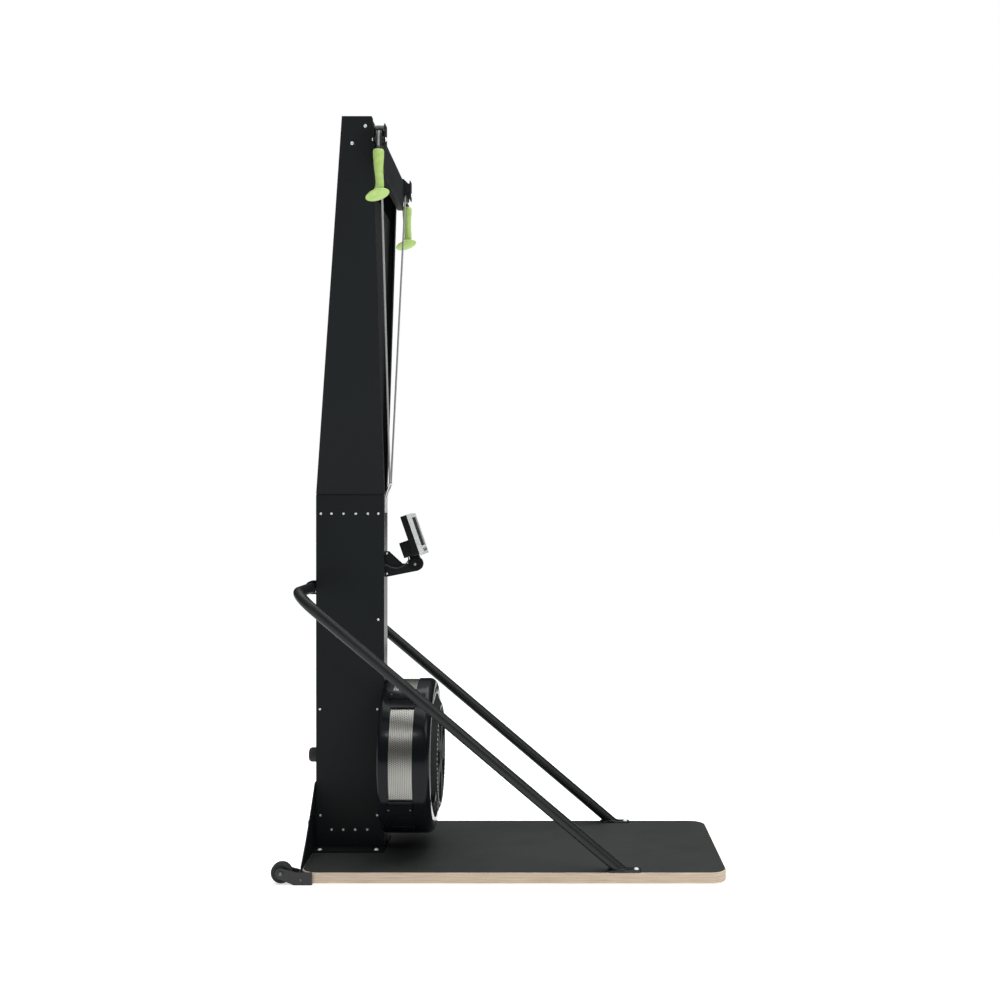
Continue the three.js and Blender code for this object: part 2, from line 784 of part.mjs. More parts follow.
// Stay tubes: each leg rises from its foot plate, bends and meets the other behind the column.
function makeStays() {
  const radius = stayDiameter / 2;
  const bendSteps = 8;
  const corner = new THREE.Vector3(stayRearX, staySpread / 2, stayRearHeight);
  const foot = new THREE.Vector3(stayFootX, staySpread / 2, matTop);
  const down = foot.clone().sub(corner).normalize();
  const across = axisY.clone().negate();
  const centre = corner.clone().addScaledVector(down, stayBend).addScaledVector(across, stayBend);
  const bend = Array.from({ length: bendSteps + 1 }, (_, i) => {
    const angle = (Math.PI / 2) * (i / bendSteps);
    return centre.clone()
      .addScaledVector(across, -stayBend * Math.cos(angle))
      .addScaledVector(down, -stayBend * Math.sin(angle));
  });
  const route = [foot.clone().addScaledVector(down, stayDiameter), ...bend,
    new THREE.Vector3(stayRearX, seat / 2, stayRearHeight)].map((point) => point.toArray());
  const [stayPlateRear, stayPlateFront] = [stayFootX - stayPlateBehind, stayFootX + stayPlateAhead];
  const plateY = [staySpread / 2 - stayPlateWidth / 2, staySpread / 2 + stayPlateWidth / 2];
  const plateTop = matTop + stayPlateThickness;
  const plate = slabXY(
    rectangle(stayPlateRear, stayPlateFront, ...plateY), matTop, plateTop,
    [circle(stayFootX + stayBoltAhead, staySpread / 2, stayBoltHole / 2, 12)]);
  const below = block(
    stayPlateRear - overrun, stayPlateFront + overrun, plateY[0] - overrun, plateY[1] + overrun,
    -overrun, matTop);
  const leg = cut(tube(route, radius, 16), below);
  const stay = join(leg, plate);
  sides.forEach(([name, s]) => piece(`stay_tube_${name}`, mirrored(stay, s), steel));

  const inner = radius + seat;
  const outer = inner + clampThickness;
  const [face, back] = [columnRearX, columnRearX - clampThickness];
  const high = (reach) => stayRearHeight + reach;
  const strap = new THREE.Shape();
  strap.moveTo(face, high(outer + clampEar));
  strap.lineTo(back, high(outer + clampEar));
  strap.lineTo(back, high(outer));
  strap.lineTo(stayRearX, high(outer));
  strap.absarc(stayRearX, stayRearHeight, outer, Math.PI / 2, Math.PI * 1.5);
  strap.lineTo(back, high(-outer));
  strap.lineTo(back, high(-outer - clampEar));
  strap.lineTo(face, high(-outer - clampEar));
  strap.lineTo(face, high(-inner));
  strap.lineTo(stayRearX, high(-inner));
  strap.absarc(stayRearX, stayRearHeight, inner, Math.PI * 1.5, Math.PI / 2, true);
  strap.lineTo(face, high(inner));
  piece('stay_clamp', slabXZ(strap, -clampWidth / 2, clampWidth / 2, [], 10), steel);
}

function facetAngle(index) {
  return (2 * Math.PI * index) / facets;
}

// The part of a ring between two facets of the fan housing, as an outline in Y and Z.
function ringPart(inner, outer, from, to, step = 1) {
  const count = Math.round((to - from) / step);
  const at = (radius, index) => {
    const angle = facetAngle(from + index * step);
    return [radius * Math.cos(angle), fanAxleHeight + radius * Math.sin(angle)];
  };
  const walk = Array.from({ length: count + 1 }, (_, i) => i);
  return [...walk.map((i) => at(outer, i)), ...walk.reverse().map((i) => at(inner, i))];
}

// Points of a quarter round between an outer rim and a flat face, for a turned profile.
function roundOver(radius, faceX, towards, round) {
  const steps = 3;
  return Array.from({ length: steps + 1 }, (_, i) => {
    const angle = (Math.PI / 2) * (i / steps);
    return [radius - round + round * Math.cos(angle), faceX + towards * (round * Math.sin(angle) - round)];
  });
}

// Fan housing: two turned shells with a silver band between them, lugs, and a guard below.
function makeFanHousing() {
  const backX = fanRearX + fanShellWall;
  const dish = turnedX([
    [fanRadius, rearRimX], ...roundOver(fanRadius, fanRearX, -1, rearShellRound), [shellBore, fanRearX],
    [shellBore, backX],
    ...roundOver(fanRadius - fanShellWall, backX, -1, rearShellRound - fanShellWall).reverse(),
    [fanRadius - fanShellWall, rearRimX],
  ], 0, fanAxleHeight, facets);
  const lugBack = rearRimX - lugTuck;
  const lugFront = frontRimX - seat;
  const lugInner = bandOuter + seat;
  const [upperFacet, lowerFacet] = [lugUpperAngle, lugLowerAngle].map((angle) => {
    return Math.round((angle / 360) * facets);
  });
  const lugStarts = [upperFacet, facets / 2 - upperFacet - 1, lowerFacet - 1, facets / 2 - lowerFacet];
  const lugs = lugStarts.map((start) => {
    return slabYZ(ringPart(lugInner, lugOuterRadius, start, start + 1), lugBack, lugFront);
  });
  const guard = slabYZ(
    ringPart(lugInner, fanRadius, facets / 2 - lowerFacet, facets + lowerFacet), rearRimX - seat, lugFront);
  piece('fan_rear_shell', join(dish, ...lugs, guard), plastic);

  const band = turnedX([
    [bandOuter - bandThickness, rearRimX - bandTuck], [bandOuter, rearRimX - bandTuck],
    [bandOuter, frontRimX + bandTuck], [bandOuter - bandThickness, frontRimX + bandTuck],
  ], 0, fanAxleHeight, facets);
  piece('fan_band', band, silver);

  const mouth = coverRadius + seat;
  const ledge = coverRadius - coverRimWidth - coverWall;
  const ledgeX = frontFaceX - coverRimWidth;
  const insideX = frontFaceX - fanShellWall;
  const front = turnedX([
    [fanRadius, frontRimX], ...roundOver(fanRadius, frontFaceX, 1, frontShellRound), [mouth, frontFaceX],
    [mouth, ledgeX], [ledge, ledgeX], [ledge, ledgeX - fanShellWall],
    [mouth + fanShellWall, ledgeX - fanShellWall], [mouth + fanShellWall, insideX],
    ...roundOver(fanRadius - fanShellWall, insideX, 1, frontShellRound - fanShellWall).reverse(),
    [fanRadius - fanShellWall, frontRimX],
  ], 0, fanAxleHeight, facets);
  piece('fan_front_shell', front, plastic);
}

function intakeWindows() {
  const share = facets / intakeCount;
  return Array.from({ length: intakeCount }, (_, i) => {
    return ringPart(intakeInner, intakeOuter, (i + 0.25) * share, (i + 0.75) * share, share / 8);
  });
}

// Front cover with a ring of vents and five air windows, and the damper that turns behind it.
function makeFanCover() {
  const plateX = coverFaceX - coverWall;
  const flat = coverRadius - coverRimWidth;
  const ventAngles = Array.from({ length: ventCount }, (_, i) => (2 * Math.PI * (i + 0.5)) / ventCount);
  const vents = ventAngles.map((angle) => circle(
    ventCircle * Math.cos(angle), fanAxleHeight + ventCircle * Math.sin(angle), ventRadius, 6));
  const plate = slabYZ(
    circle(0, fanAxleHeight, flat, facets), plateX, coverFaceX, [...vents, ...intakeWindows()]);
  const rimFoot = frontFaceX - coverRimWidth + seat;
  const rim = turnedX([
    [coverRadius, rimFoot], [coverRadius, frontFaceX], [flat, coverFaceX], [flat - coverWall, coverFaceX],
    [flat - coverWall, plateX], [coverRadius - coverWall, frontFaceX - coverWall],
    [coverRadius - coverWall, rimFoot],
  ], 0, fanAxleHeight, facets);
  const damperFront = plateX - seat;
  const damperBack = damperFront - damperThickness;
  const bossEnd = damperBack - seat;
  const boss = rodX(damperBoss, bossEnd, plateX + coverWall / 2, 0, fanAxleHeight, 24);
  const keeper = rodX(damperBoss + coverWall, bossEnd - coverWall, bossEnd, 0, fanAxleHeight, 24);
  const turn = (degrees) => (degrees / 360) * facets;
  const lever = 180 - leverAngle;
  const slotMargin = THREE.MathUtils.radToDeg(Math.asin((leverWidth / 2 + slotClearance) / flat));
  const slot = slabYZ(
    ringPart(flat - coverWall * 2, coverRadius + overrun, turn(lever - damperTravel - slotMargin),
      turn(lever + slotMargin)), damperBack - seat, damperFront + seat);
  piece('fan_front_cover', cut(join(plate, rim, boss, keeper), slot), plastic);

  const ring = slabYZ(
    circle(0, fanAxleHeight, damperRadius, facets), damperBack, damperFront,
    [circle(0, fanAxleHeight, damperBoss + seat, 24), ...intakeWindows()]);
  const arm = block(
    damperRadius - coverWall, leverReach, -leverWidth / 2, leverWidth / 2, 0, damperThickness);
  const gripDepth = coverStand - coverWall;
  const tab = slab([
    [coverRadius + coverWall, 0], [(coverRadius + leverReach) / 2, -leverWidth / 2 - coverWall],
    [leverReach + coverWall, 0], [(coverRadius + leverReach) / 2, leverWidth / 2 + coverWall],
  ], gripDepth, frameXY);
  const stick = join(arm, tab).rotateZ(THREE.MathUtils.degToRad(lever)).applyMatrix4(frameYZ)
    .translate(damperBack, 0, fanAxleHeight);
  piece('damper_ring', join(ring, stick), plastic);
}

// Fan wheel: swept blades on a hub and a back plate, and the shaft that carries it.
function makeFanWheel() {
  const plateBack = fanRearX + fanShellWall + backPlateGap;
  const plateFront = plateBack + backPlateThickness;
  const bore = circle(0, fanAxleHeight, bearingBore, 16);
  const corner = (radius, angle) => [
    radius * Math.cos(angle), fanAxleHeight + radius * Math.sin(angle)];
  const rootHalf = Math.asin(bladeThickness / 2 / wheelHub);
  const tipHalf = Math.asin(bladeThickness / 2 / bladeRadius);
  const sweep = THREE.MathUtils.degToRad(bladeSweep);
  const star = Array.from({ length: bladeCount }, (_, i) => (2 * Math.PI * i) / bladeCount)
    .flatMap((angle) => [
      corner(wheelHub, angle - rootHalf), corner(bladeRadius, angle + sweep - tipHalf),
      corner(bladeRadius, angle + sweep + tipHalf), corner(wheelHub, angle + rootHalf),
    ]);
  const blades = slabYZ(star, plateFront - bladeThickness / 2, plateFront + bladeWidth, [bore]);
  const plate = slabYZ(circle(0, fanAxleHeight, bladeRadius, 36), plateBack, plateFront, [bore]);
  piece('fan_wheel', join(blades, plate), plastic);
  const shaftFrontX = plateFront + bladeWidth + shaftNose;
  piece('fan_shaft', rodX(shaftRadius, columnRearX - shaftTail, shaftFrontX, 0, fanAxleHeight), silver);
}

// Inside the column: two bearings, two cord spools, their return cords and the anchor, and the end cap.
function makeDrive() {
  const collar = (x0, x1) => turnedX(
    [[bearingBore, x0], [bearingRadius, x0], [bearingRadius, x1], [bearingBore, x1]], 0, fanAxleHeight, 16);
  const frontInside = columnFrontX - sheet - seat;
  const rearInside = columnRearX + sheet + seat;
  piece('bearing_front', collar(frontInside - bearingWidth, frontInside), steel);
  piece('bearing_rear', collar(rearInside, rearInside + bearingWidth), steel);

  const capShares = [[0, 1], [0.5, 1], [0.86, 0.9], [1, 0.62], [1, 0]];
  const capX = columnRearX - seat;
  const shell = (radius, depth) => capShares.map(([r, along]) => [r * radius, capX - along * depth]);
  const cap = turnedX([
    ...shell(endCapRadius, endCapDepth),
    ...shell(endCapRadius - endCapWall, endCapDepth - endCapWall).reverse(),
  ], 0, fanAxleHeight, 16);
  piece('end_cap', cap, rubber);

  const anchorBottom = seamHeight - anchorDrop - anchorThickness / 2;
  const anchorX = (spoolX[0] + spoolX[1]) / 2;
  const anchorHalf = columnHalf - sheet - seat;
  const anchor = block(
    anchorX - anchorDepth / 2, anchorX + anchorDepth / 2, -anchorHalf, anchorHalf,
    anchorBottom, anchorBottom + anchorThickness);
  piece('return_anchor', anchor, steel);
  sides.forEach(([name], which) => {
    const [x0, x1] = [spoolX[which] - spoolWidth / 2, spoolX[which] + spoolWidth / 2];
    const spool = turnedX([
      [bearingBore, x0], [spoolFlange, x0], [spoolFlange, x0 + spoolWall], [spoolCore, x0 + spoolWall],
      [spoolCore, x1 - spoolWall], [spoolFlange, x1 - spoolWall], [spoolFlange, x1], [bearingBore, x1],
    ], 0, fanAxleHeight, 16);
    piece(`cord_spool_${name}`, spool, plastic);
    const cord = tube([
      [spoolX[which], spoolCordLine, fanAxleHeight], [spoolX[which], spoolCordLine, anchorBottom - seat],
    ], returnCordDiameter / 2, 8);
    piece(`return_cord_${name}`, cord, webbing);
  });
}

// Transport wheels in brackets that wrap the deck's rear corners, each with its fixed axle.
function makeWheels() {
  const outer = deckWidth / 2 + seat;
  const middle = wheelSpread / 2;
  const inner = bracketInnerY + bracketPlate;
  const backX = deckRearX - seat;
  const bracketFrontX = deckRearX + bracketWrap;
  const lobe = circle(wheelX, wheelHeight, bracketLobe, 16);
  const outerArm = [
    [bracketFrontX, 0], [bracketFrontX, matTop], [deckRearX - bracketPlate * 2, matTop],
    [wheelX, wheelHeight + bracketLobe], [wheelX, wheelHeight - bracketLobe], [deckRearX - bracketLobe, 0],
  ];
  const innerArm = [
    [backX, 0], [backX, plyTop], [wheelX, wheelHeight + bracketLobe],
    [wheelX, wheelHeight - bracketLobe], [deckRearX - bracketLobe, 0],
  ];
  const arm = (shape, y0) => join(slabXZ(shape, y0, y0 + bracketPlate), slabXZ(lobe, y0, y0 + bracketPlate));
  const web = block(backX - bracketPlate, backX, inner - bracketPlate, outer + bracketPlate, 0, plyTop);
  const sole = block(
    backX - bracketPlate, bracketFrontX, inner - bracketPlate, outer + bracketPlate, 0, stripHeight - seat);
  const axle = rodY(
    wheelAxleRadius, wheelX, wheelHeight, inner - bracketPlate, outer + bracketPlate, 12);
  const head = rodY(
    axleHeadRadius, wheelX, wheelHeight, outer + bracketPlate, outer + bracketPlate + axleHeadLength, 12);
  const bracket = join(arm(outerArm, outer), arm(innerArm, inner - bracketPlate), web, sole, axle, head);
  const [near, far] = [middle - wheelWidth / 2, middle + wheelWidth / 2];
  const bore = wheelAxleRadius + seat;
  const profile = [
    [bore, inner + seat], [wheelHubRadius, inner + seat], [wheelHubRadius, near],
    [wheelRadius - treadChamfer, near], [wheelRadius, near + treadChamfer],
    [wheelRadius, far - treadChamfer], [wheelRadius - treadChamfer, far],
    [wheelHubRadius, far], [wheelHubRadius, outer - seat], [bore, outer - seat],
  ];
  const wheel = turned([...profile, profile[0]], new THREE.Matrix4(), 20).translate(wheelX, 0, wheelHeight);
  sides.forEach(([name, s]) => {
    piece(`wheel_bracket_${name}`, mirrored(bracket, s), plastic);
    piece(`transport_wheel_${name}`, mirrored(wheel, s), rubber);
  });
}

// Monitor: a fixed arm with the pivot bolt, and a tilted group with case, bezel, screen and buttons.
function makeMonitor() {
  const cheekInner = armCheekGap / 2;
  const cheekOuter = cheekInner + armCheekThickness;
  const [armBottom, armTop] = [pivotHeight - armDrop, pivotHeight + armRise];
  const cheekShape = [
    [columnFrontX, armBottom], [columnFrontX + armFootReach, armBottom],
    [pivotX, pivotHeight - armLobe], [pivotX, pivotHeight], [columnFrontX + armNeckReach, pivotHeight],
    [columnFrontX + armFootReach, armTop], [columnFrontX, armTop],
  ];
  const lobe = circle(pivotX, pivotHeight, armLobe, 24);
  const cheeks = [-1, 1].flatMap((s) => {
    return [cheekShape, lobe].map((shape) => mirrored(slabXZ(shape, cheekInner, cheekOuter), s));
  });
  const foot = block(
    columnFrontX, columnFrontX + armCheekThickness, -cheekOuter, cheekOuter, armBottom, armTop);
  const headOuter = cheekOuter + pivotHeadLength;
  const bolt = rodY(pivotBoltRadius, pivotX, pivotHeight, -headOuter, headOuter, 12);
  const heads = [-1, 1].map((s) => {
    return mirrored(rodY(pivotHeadRadius, pivotX, pivotHeight, cheekOuter, headOuter, 16), s);
  });
  piece('monitor_arm', join(...cheeks, foot, bolt, ...heads), steel);

  const tilted = new THREE.Group();
  tilted.position.set(pivotX, 0, pivotHeight);
  tilted.rotation.y = THREE.MathUtils.degToRad(-monitorTilt);
  machine.add(tilted);

  const caseHeight = caseTop - caseBottom;
  const back = slabYZ(
    roundedRectangle(0, (caseTop + caseBottom) / 2, monitorWidth, caseHeight, caseCorner),
    caseRear, caseFront, [], 4);
  const batteryHeight = batteryTop - batteryBottom;
  const battery = slabYZ(
    roundedRectangle(0, (batteryTop + batteryBottom) / 2, batteryWidth, batteryHeight, caseCorner),
    batteryRear, (caseRear + caseFront) / 2, [], 4);
  const knuckleHalf = cheekInner - seat;
  const knuckle = slabXZ(circle(0, 0, knuckleRadius, 20), -knuckleHalf, knuckleHalf);
  const neck = block(
    -caseRear, caseRear + caseCorner, -knuckleHalf, knuckleHalf, 0, batteryBottom + caseCorner);
  const bore = rodY(pivotBoltRadius + seat, 0, 0, -overrun, overrun, 12);
  piece('monitor_case', cut(join(back, battery, knuckle, neck), bore), plastic, tilted);

  const bezelRear = caseFront + seat;
  const bezelHeight = caseTop - bezelBottom;
  const window = rectangle(-windowWidth / 2, windowWidth / 2, windowBottom, windowTop);
  const buttonY = Array.from({ length: buttonCount }, (_, i) => (i - (buttonCount - 1) / 2) * buttonPitch);
  const buttonHoles = buttonY.map((y) => circle(y, buttonHeight, buttonRadius + seat, 16));
  const bezel = slabYZ(
    roundedRectangle(0, (caseTop + bezelBottom) / 2, monitorWidth, bezelHeight, caseCorner),
    bezelRear, bezelFront, [window, ...buttonHoles], 4);
  piece('monitor_bezel', bezel, greyPlastic, tilted);
  const pane = block(
    bezelRear, bezelFront - screenRecess, seat - windowWidth / 2, windowWidth / 2 - seat,
    windowBottom + seat, windowTop - seat);
  piece('monitor_screen', pane, glass, tilted);
  buttonY.forEach((y, i) => {
    const button = rodX(
      buttonRadius, bezelRear + buttonTravel + seat, bezelFront + buttonProud, y, buttonHeight, 16);
    piece(`monitor_button_${i + 1}`, button, rubber, tilted);
  });
}

// Monitor cable: from the battery box, sagging beside the arm and into a grommet in the column.
function makeCable() {
  const sagShares = [
    [-0.22, 0.234], [-0.202, 0.182], [-0.215, 0.12], [-0.27, 0.041], [-0.369, -0.043], [-0.492, -0.104],
    [-0.626, -0.131], [-0.758, -0.113], [-0.862, -0.071], [-0.912, -0.045],
  ];
  const route = [
    ...sagShares.map(([x, z]) => [pivotX + x * pivotReach, cableY, pivotHeight + z * pivotReach]),
    [columnFrontX + grommetLength + seat, cableY, cableExitHeight],
  ];
  piece('monitor_cable', tube(route, cableDiameter / 2, 8), webbing);
  const flange = rodX(
    grommetRadius, columnFrontX, columnFrontX + grommetLength, cableY, cableExitHeight, 16);
  const stem = rodX(
    cableDiameter / 2, columnFrontX - sheet - grommetLength, columnFrontX + grommetLength / 2,
    cableY, cableExitHeight, 10);
  piece('cable_grommet', join(flange, stem), rubber);
}

makeDeck();
makeBase();
makeColumn();
makeWings();
makeHeader();
makePulleys(makePulleyBrackets());
makeDriveCords();
makeHandles();
makeCordGuide();
makeStays();
makeFanHousing();
makeFanCover();
makeFanWheel();
makeDrive();
makeWheels();
makeMonitor();
makeCable();

export default machine;
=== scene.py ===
"""Looks of a ski trainer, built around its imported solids.

Metres, Z up. The column stands at -X, the user's end of the deck is at +X, and the near side is -Y.
"""

import bmesh
import bpy
import numpy as np
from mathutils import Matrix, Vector


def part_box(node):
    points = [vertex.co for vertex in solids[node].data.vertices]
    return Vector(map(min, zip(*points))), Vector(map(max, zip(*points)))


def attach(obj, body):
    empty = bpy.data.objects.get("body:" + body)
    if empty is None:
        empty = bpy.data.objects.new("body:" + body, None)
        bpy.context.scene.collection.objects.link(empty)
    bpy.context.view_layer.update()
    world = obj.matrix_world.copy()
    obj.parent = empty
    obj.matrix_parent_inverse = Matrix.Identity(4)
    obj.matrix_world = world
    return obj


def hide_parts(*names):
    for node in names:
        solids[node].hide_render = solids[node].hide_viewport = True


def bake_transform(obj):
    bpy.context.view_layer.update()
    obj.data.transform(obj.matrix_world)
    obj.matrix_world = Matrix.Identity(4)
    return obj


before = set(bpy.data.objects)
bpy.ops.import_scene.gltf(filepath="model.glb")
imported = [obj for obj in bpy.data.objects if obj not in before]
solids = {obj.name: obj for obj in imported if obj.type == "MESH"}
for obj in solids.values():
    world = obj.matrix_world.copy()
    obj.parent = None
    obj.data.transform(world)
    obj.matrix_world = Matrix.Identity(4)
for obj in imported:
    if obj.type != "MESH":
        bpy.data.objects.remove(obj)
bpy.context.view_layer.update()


# Camera, floor and light
# The photograph was taken square to the machine's side, from about four metres, on a white studio floor.
camera_place = (0.1458, -4.0, 1.082)
lens = bpy.data.cameras.new("camera")
lens.lens = 47.4
lens.sensor_width = 36.0
lens.shift_x = -0.051
camera = bpy.data.objects.new("camera", lens)
camera.location = camera_place
camera.rotation_euler = (np.pi / 2, 0, 0)
bpy.context.scene.collection.objects.link(camera)
bpy.context.scene.camera = camera
bpy.context.scene.view_settings.view_transform = "Standard"

floor_size, floor_drop = 60.0, 0.0005
floor_mesh = bpy.data.meshes.new("floor")
floor_corners = np.array([(-1, -1, 0), (1, -1, 0), (1, 1, 0), (-1, 1, 0)]) * floor_size / 2
floor_mesh.from_pydata(floor_corners.tolist(), [], [(0, 1, 2, 3)])
floor = bpy.data.objects.new("floor", floor_mesh)
floor.location.z = -floor_drop
bpy.context.scene.collection.objects.link(floor)
floor_paint = bpy.data.materials.new("floor_paint")
floor_paint.use_nodes = True
floor_shader = floor_paint.node_tree.nodes["Principled BSDF"]
floor_shader.inputs["Base Color"].default_value = (0.9, 0.9, 0.9, 1)
floor_shader.inputs["Roughness"].default_value = 0.9
floor_shader.inputs["Specular IOR Level"].default_value = 0.1
floor_shader.inputs["Emission Color"].default_value = (1, 1, 1, 1)
floor_shader.inputs["Emission Strength"].default_value = 0.62
floor_mesh.materials.append(floor_paint)


def studio_room(front, back, above):
    """World brightness by direction: from front (the camera's side) to back, plus above overhead.

    The backdrop itself, where a ray from the camera meets it, is plain white.
    """
    world = bpy.data.worlds.new("studio")
    world.use_nodes = True
    tree = world.node_tree
    place = tree.nodes.new("ShaderNodeTexCoord")
    split = tree.nodes.new("ShaderNodeSeparateXYZ")
    across = tree.nodes.new("ShaderNodeMapRange")
    across.interpolation_type = "SMOOTHSTEP"
    across.inputs["From Min"].default_value = -0.45
    across.inputs["From Max"].default_value = 0.45
    across.inputs["To Min"].default_value = front
    across.inputs["To Max"].default_value = back
    overhead = tree.nodes.new("ShaderNodeMapRange")
    overhead.interpolation_type = "SMOOTHSTEP"
    overhead.inputs["From Min"].default_value = 0.3
    overhead.inputs["From Max"].default_value = 0.95
    overhead.inputs["To Max"].default_value = above
    total = tree.nodes.new("ShaderNodeMath")
    seen = tree.nodes.new("ShaderNodeLightPath")
    choice = tree.nodes.new("ShaderNodeMix")
    choice.inputs["B"].default_value = 1.0
    background = tree.nodes["Background"]
    tree.links.new(place.outputs["Generated"], split.inputs["Vector"])
    tree.links.new(split.outputs["Y"], across.inputs["Value"])
    tree.links.new(split.outputs["Z"], overhead.inputs["Value"])
    tree.links.new(across.outputs["Result"], total.inputs[0])
    tree.links.new(overhead.outputs["Result"], total.inputs[1])
    tree.links.new(seen.outputs["Is Camera Ray"], choice.inputs["Factor"])
    tree.links.new(total.outputs["Value"], choice.inputs["A"])
    tree.links.new(choice.outputs["Result"], background.inputs["Strength"])
    background.inputs["Color"].default_value = (1, 1, 1, 1)
    bpy.context.scene.world = world


def softbox(name, place, target, size, power):
    """A square area light at place that faces target."""
    lamp = bpy.data.lights.new(name, "AREA")
    lamp.size = size
    lamp.energy = power
    light = bpy.data.objects.new(name, lamp)
    light.location = place
    light.rotation_euler = (Vector(target) - Vector(place)).to_track_quat("-Z", "Y").to_euler()
    bpy.context.scene.collection.objects.link(light)


studio_room(front=0.1, back=0.03, above=0.7)
softbox("key", (2.4, -2.2, 3.0), (-0.2, 0.0, 0.9), 1.8, 38)
softbox("strip", (-0.75, -3.24, 2.98), (-0.29, -0.2, 0.41), 0.2, 7)
softbox("floor_light", (0.2, 0.6, 4.5), (0.0, 0.4, 0.0), 4.0, 160)


# Powder-coated sheet metal: column, wings, V panels, header, base and gusset
# Folded steel sheet with a near-black satin powder coat, smoother on the column's front plate. Its cut and
# folded edges are slightly round and catch the light. The shapes are the solids' own, with these edges.
sharp_angle = 32
merge_within = 1e-6


def finish(name, dark, light, cloud, rough, grain=0.0, relief=0.0, metallic=0.0, specular=0.5):
    """Noise of scale cloud mixes dark and light, and finer noise of scale grain stands relief metres high.

    rough is (least, most), moved by the same cloud.
    """
    material = bpy.data.materials.new(name)
    material.use_nodes = True
    tree = material.node_tree
    shader = tree.nodes["Principled BSDF"]
    shader.inputs["Metallic"].default_value = metallic
    shader.inputs["Specular IOR Level"].default_value = specular
    place = tree.nodes.new("ShaderNodeTexCoord").outputs["Object"]
    patches = tree.nodes.new("ShaderNodeTexNoise")
    patches.inputs["Scale"].default_value = cloud
    patches.inputs["Detail"].default_value = 5.0
    tree.links.new(place, patches.inputs["Vector"])
    tint = tree.nodes.new("ShaderNodeValToRGB")
    tint.color_ramp.elements[0].position = 0.35
    tint.color_ramp.elements[0].color = (*dark, 1)
    tint.color_ramp.elements[1].position = 0.65
    tint.color_ramp.elements[1].color = (*light, 1)
    tree.links.new(patches.outputs["Fac"], tint.inputs["Fac"])
    tree.links.new(tint.outputs["Color"], shader.inputs["Base Color"])
    gloss = tree.nodes.new("ShaderNodeMapRange")
    gloss.inputs["From Min"].default_value = 0.3
    gloss.inputs["From Max"].default_value = 0.7
    gloss.inputs["To Min"].default_value = rough[0]
    gloss.inputs["To Max"].default_value = rough[1]
    tree.links.new(patches.outputs["Fac"], gloss.inputs["Value"])
    tree.links.new(gloss.outputs["Result"], shader.inputs["Roughness"])
    if relief > 0:
        peel = tree.nodes.new("ShaderNodeTexNoise")
        peel.inputs["Scale"].default_value = grain
        peel.inputs["Detail"].default_value = 3.0
        bump = tree.nodes.new("ShaderNodeBump")
        bump.inputs["Distance"].default_value = relief
        tree.links.new(place, peel.inputs["Vector"])
        tree.links.new(peel.outputs["Fac"], bump.inputs["Height"])
        tree.links.new(bump.outputs["Normal"], shader.inputs["Normal"])
    return material


def shown(mesh, body, material, stands_for=(), sharp=sharp_angle):
    """Puts a finished mesh in the scene, with its material, body and the solids it stands for.

    A piece that bends across a joint gets no body here.
    """
    mesh.materials.clear()
    mesh.materials.append(material)
    mesh.shade_smooth()
    mesh.set_sharp_from_angle(angle=np.radians(sharp))
    piece = bpy.data.objects.new(mesh.name, mesh)
    bpy.context.scene.collection.objects.link(piece)
    if body:
        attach(piece, body)
    if stands_for:
        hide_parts(*stands_for)
    return piece


def edged(piece, width, steps):
    """Rounds a piece's sharp edges to width metres, in steps narrow faces."""
    bevel = piece.modifiers.new("edges", "BEVEL")
    bevel.width = width
    bevel.segments = steps
    bevel.limit_method = "ANGLE"
    bevel.angle_limit = np.radians(sharp_angle)
    bevel.harden_normals = True


def rounded(node, width, body, material, steps=2):
    """A copy of a CAD solid, merged, its flat faces made whole, with edges rounded to width metres."""
    work = bmesh.new()
    work.from_mesh(solids[node].data)
    bmesh.ops.remove_doubles(work, verts=work.verts, dist=merge_within)
    bmesh.ops.dissolve_limit(work, angle_limit=np.radians(0.5), verts=work.verts, edges=work.edges)
    mesh = bpy.data.meshes.new(f"{node}_shape")
    work.to_mesh(mesh)
    work.free()
    edged(shown(mesh, body, material, [node]), width, steps)


coat_dark, coat_light = (0.0066, 0.0086, 0.0092), (0.0083, 0.0106, 0.0113)
powder_coat = finish(
    "powder_coat", coat_dark, coat_light, cloud=5.0, rough=(0.54, 0.64), grain=900.0, relief=0.00006,
    specular=0.14)
smooth_coat = finish(
    "smooth_coat", coat_dark, coat_light, cloud=5.0, rough=(0.3, 0.38), grain=900.0, relief=0.00003,
    specular=0.5)
sheet_edges = {
    "column_side_left": 0.0007, "column_side_right": 0.0007, "column_front_plate": 0.0009,
    "column_rear_plate": 0.0009, "wing_left": 0.0009, "wing_right": 0.0009, "v_front_panel": 0.0008,
    "v_rear_panel": 0.0008, "top_cap": 0.0008, "header_beam": 0.0009, "column_base": 0.0012,
    "rear_gusset": 0.0012, "stay_clamp": 0.0012, "return_anchor": 0.0012,
}
for sheet_name, edge in sheet_edges.items():
    coat = smooth_coat if sheet_name == "column_front_plate" else powder_coat
    rounded(sheet_name, edge, "frame", coat)


# Screws of the column and the wings
# Bright zinc-plated screws with domed heads hold the sheets together: a row at the column's seam and one at
# its foot, single ones between, and larger ones on the wings.
def grid(points, wrap_rows=False, wrap_columns=False, caps=False):
    """Vertices and faces of a surface given as points[row, column]; caps close the first and last row."""
    rows, columns = points.shape[:2]
    index = np.arange(rows * columns).reshape(rows, columns)
    if wrap_rows:
        index = np.vstack([index, index[:1]])
    if wrap_columns:
        index = np.hstack([index, index[:, :1]])
    quads = np.stack([index[:-1, :-1], index[:-1, 1:], index[1:, 1:], index[1:, :-1]], axis=-1)
    faces = quads.reshape(-1, 4).tolist()
    if caps:
        faces += [list(range(columns))[::-1], list(range((rows - 1) * columns, rows * columns))]
    return points.reshape(-1, 3), faces


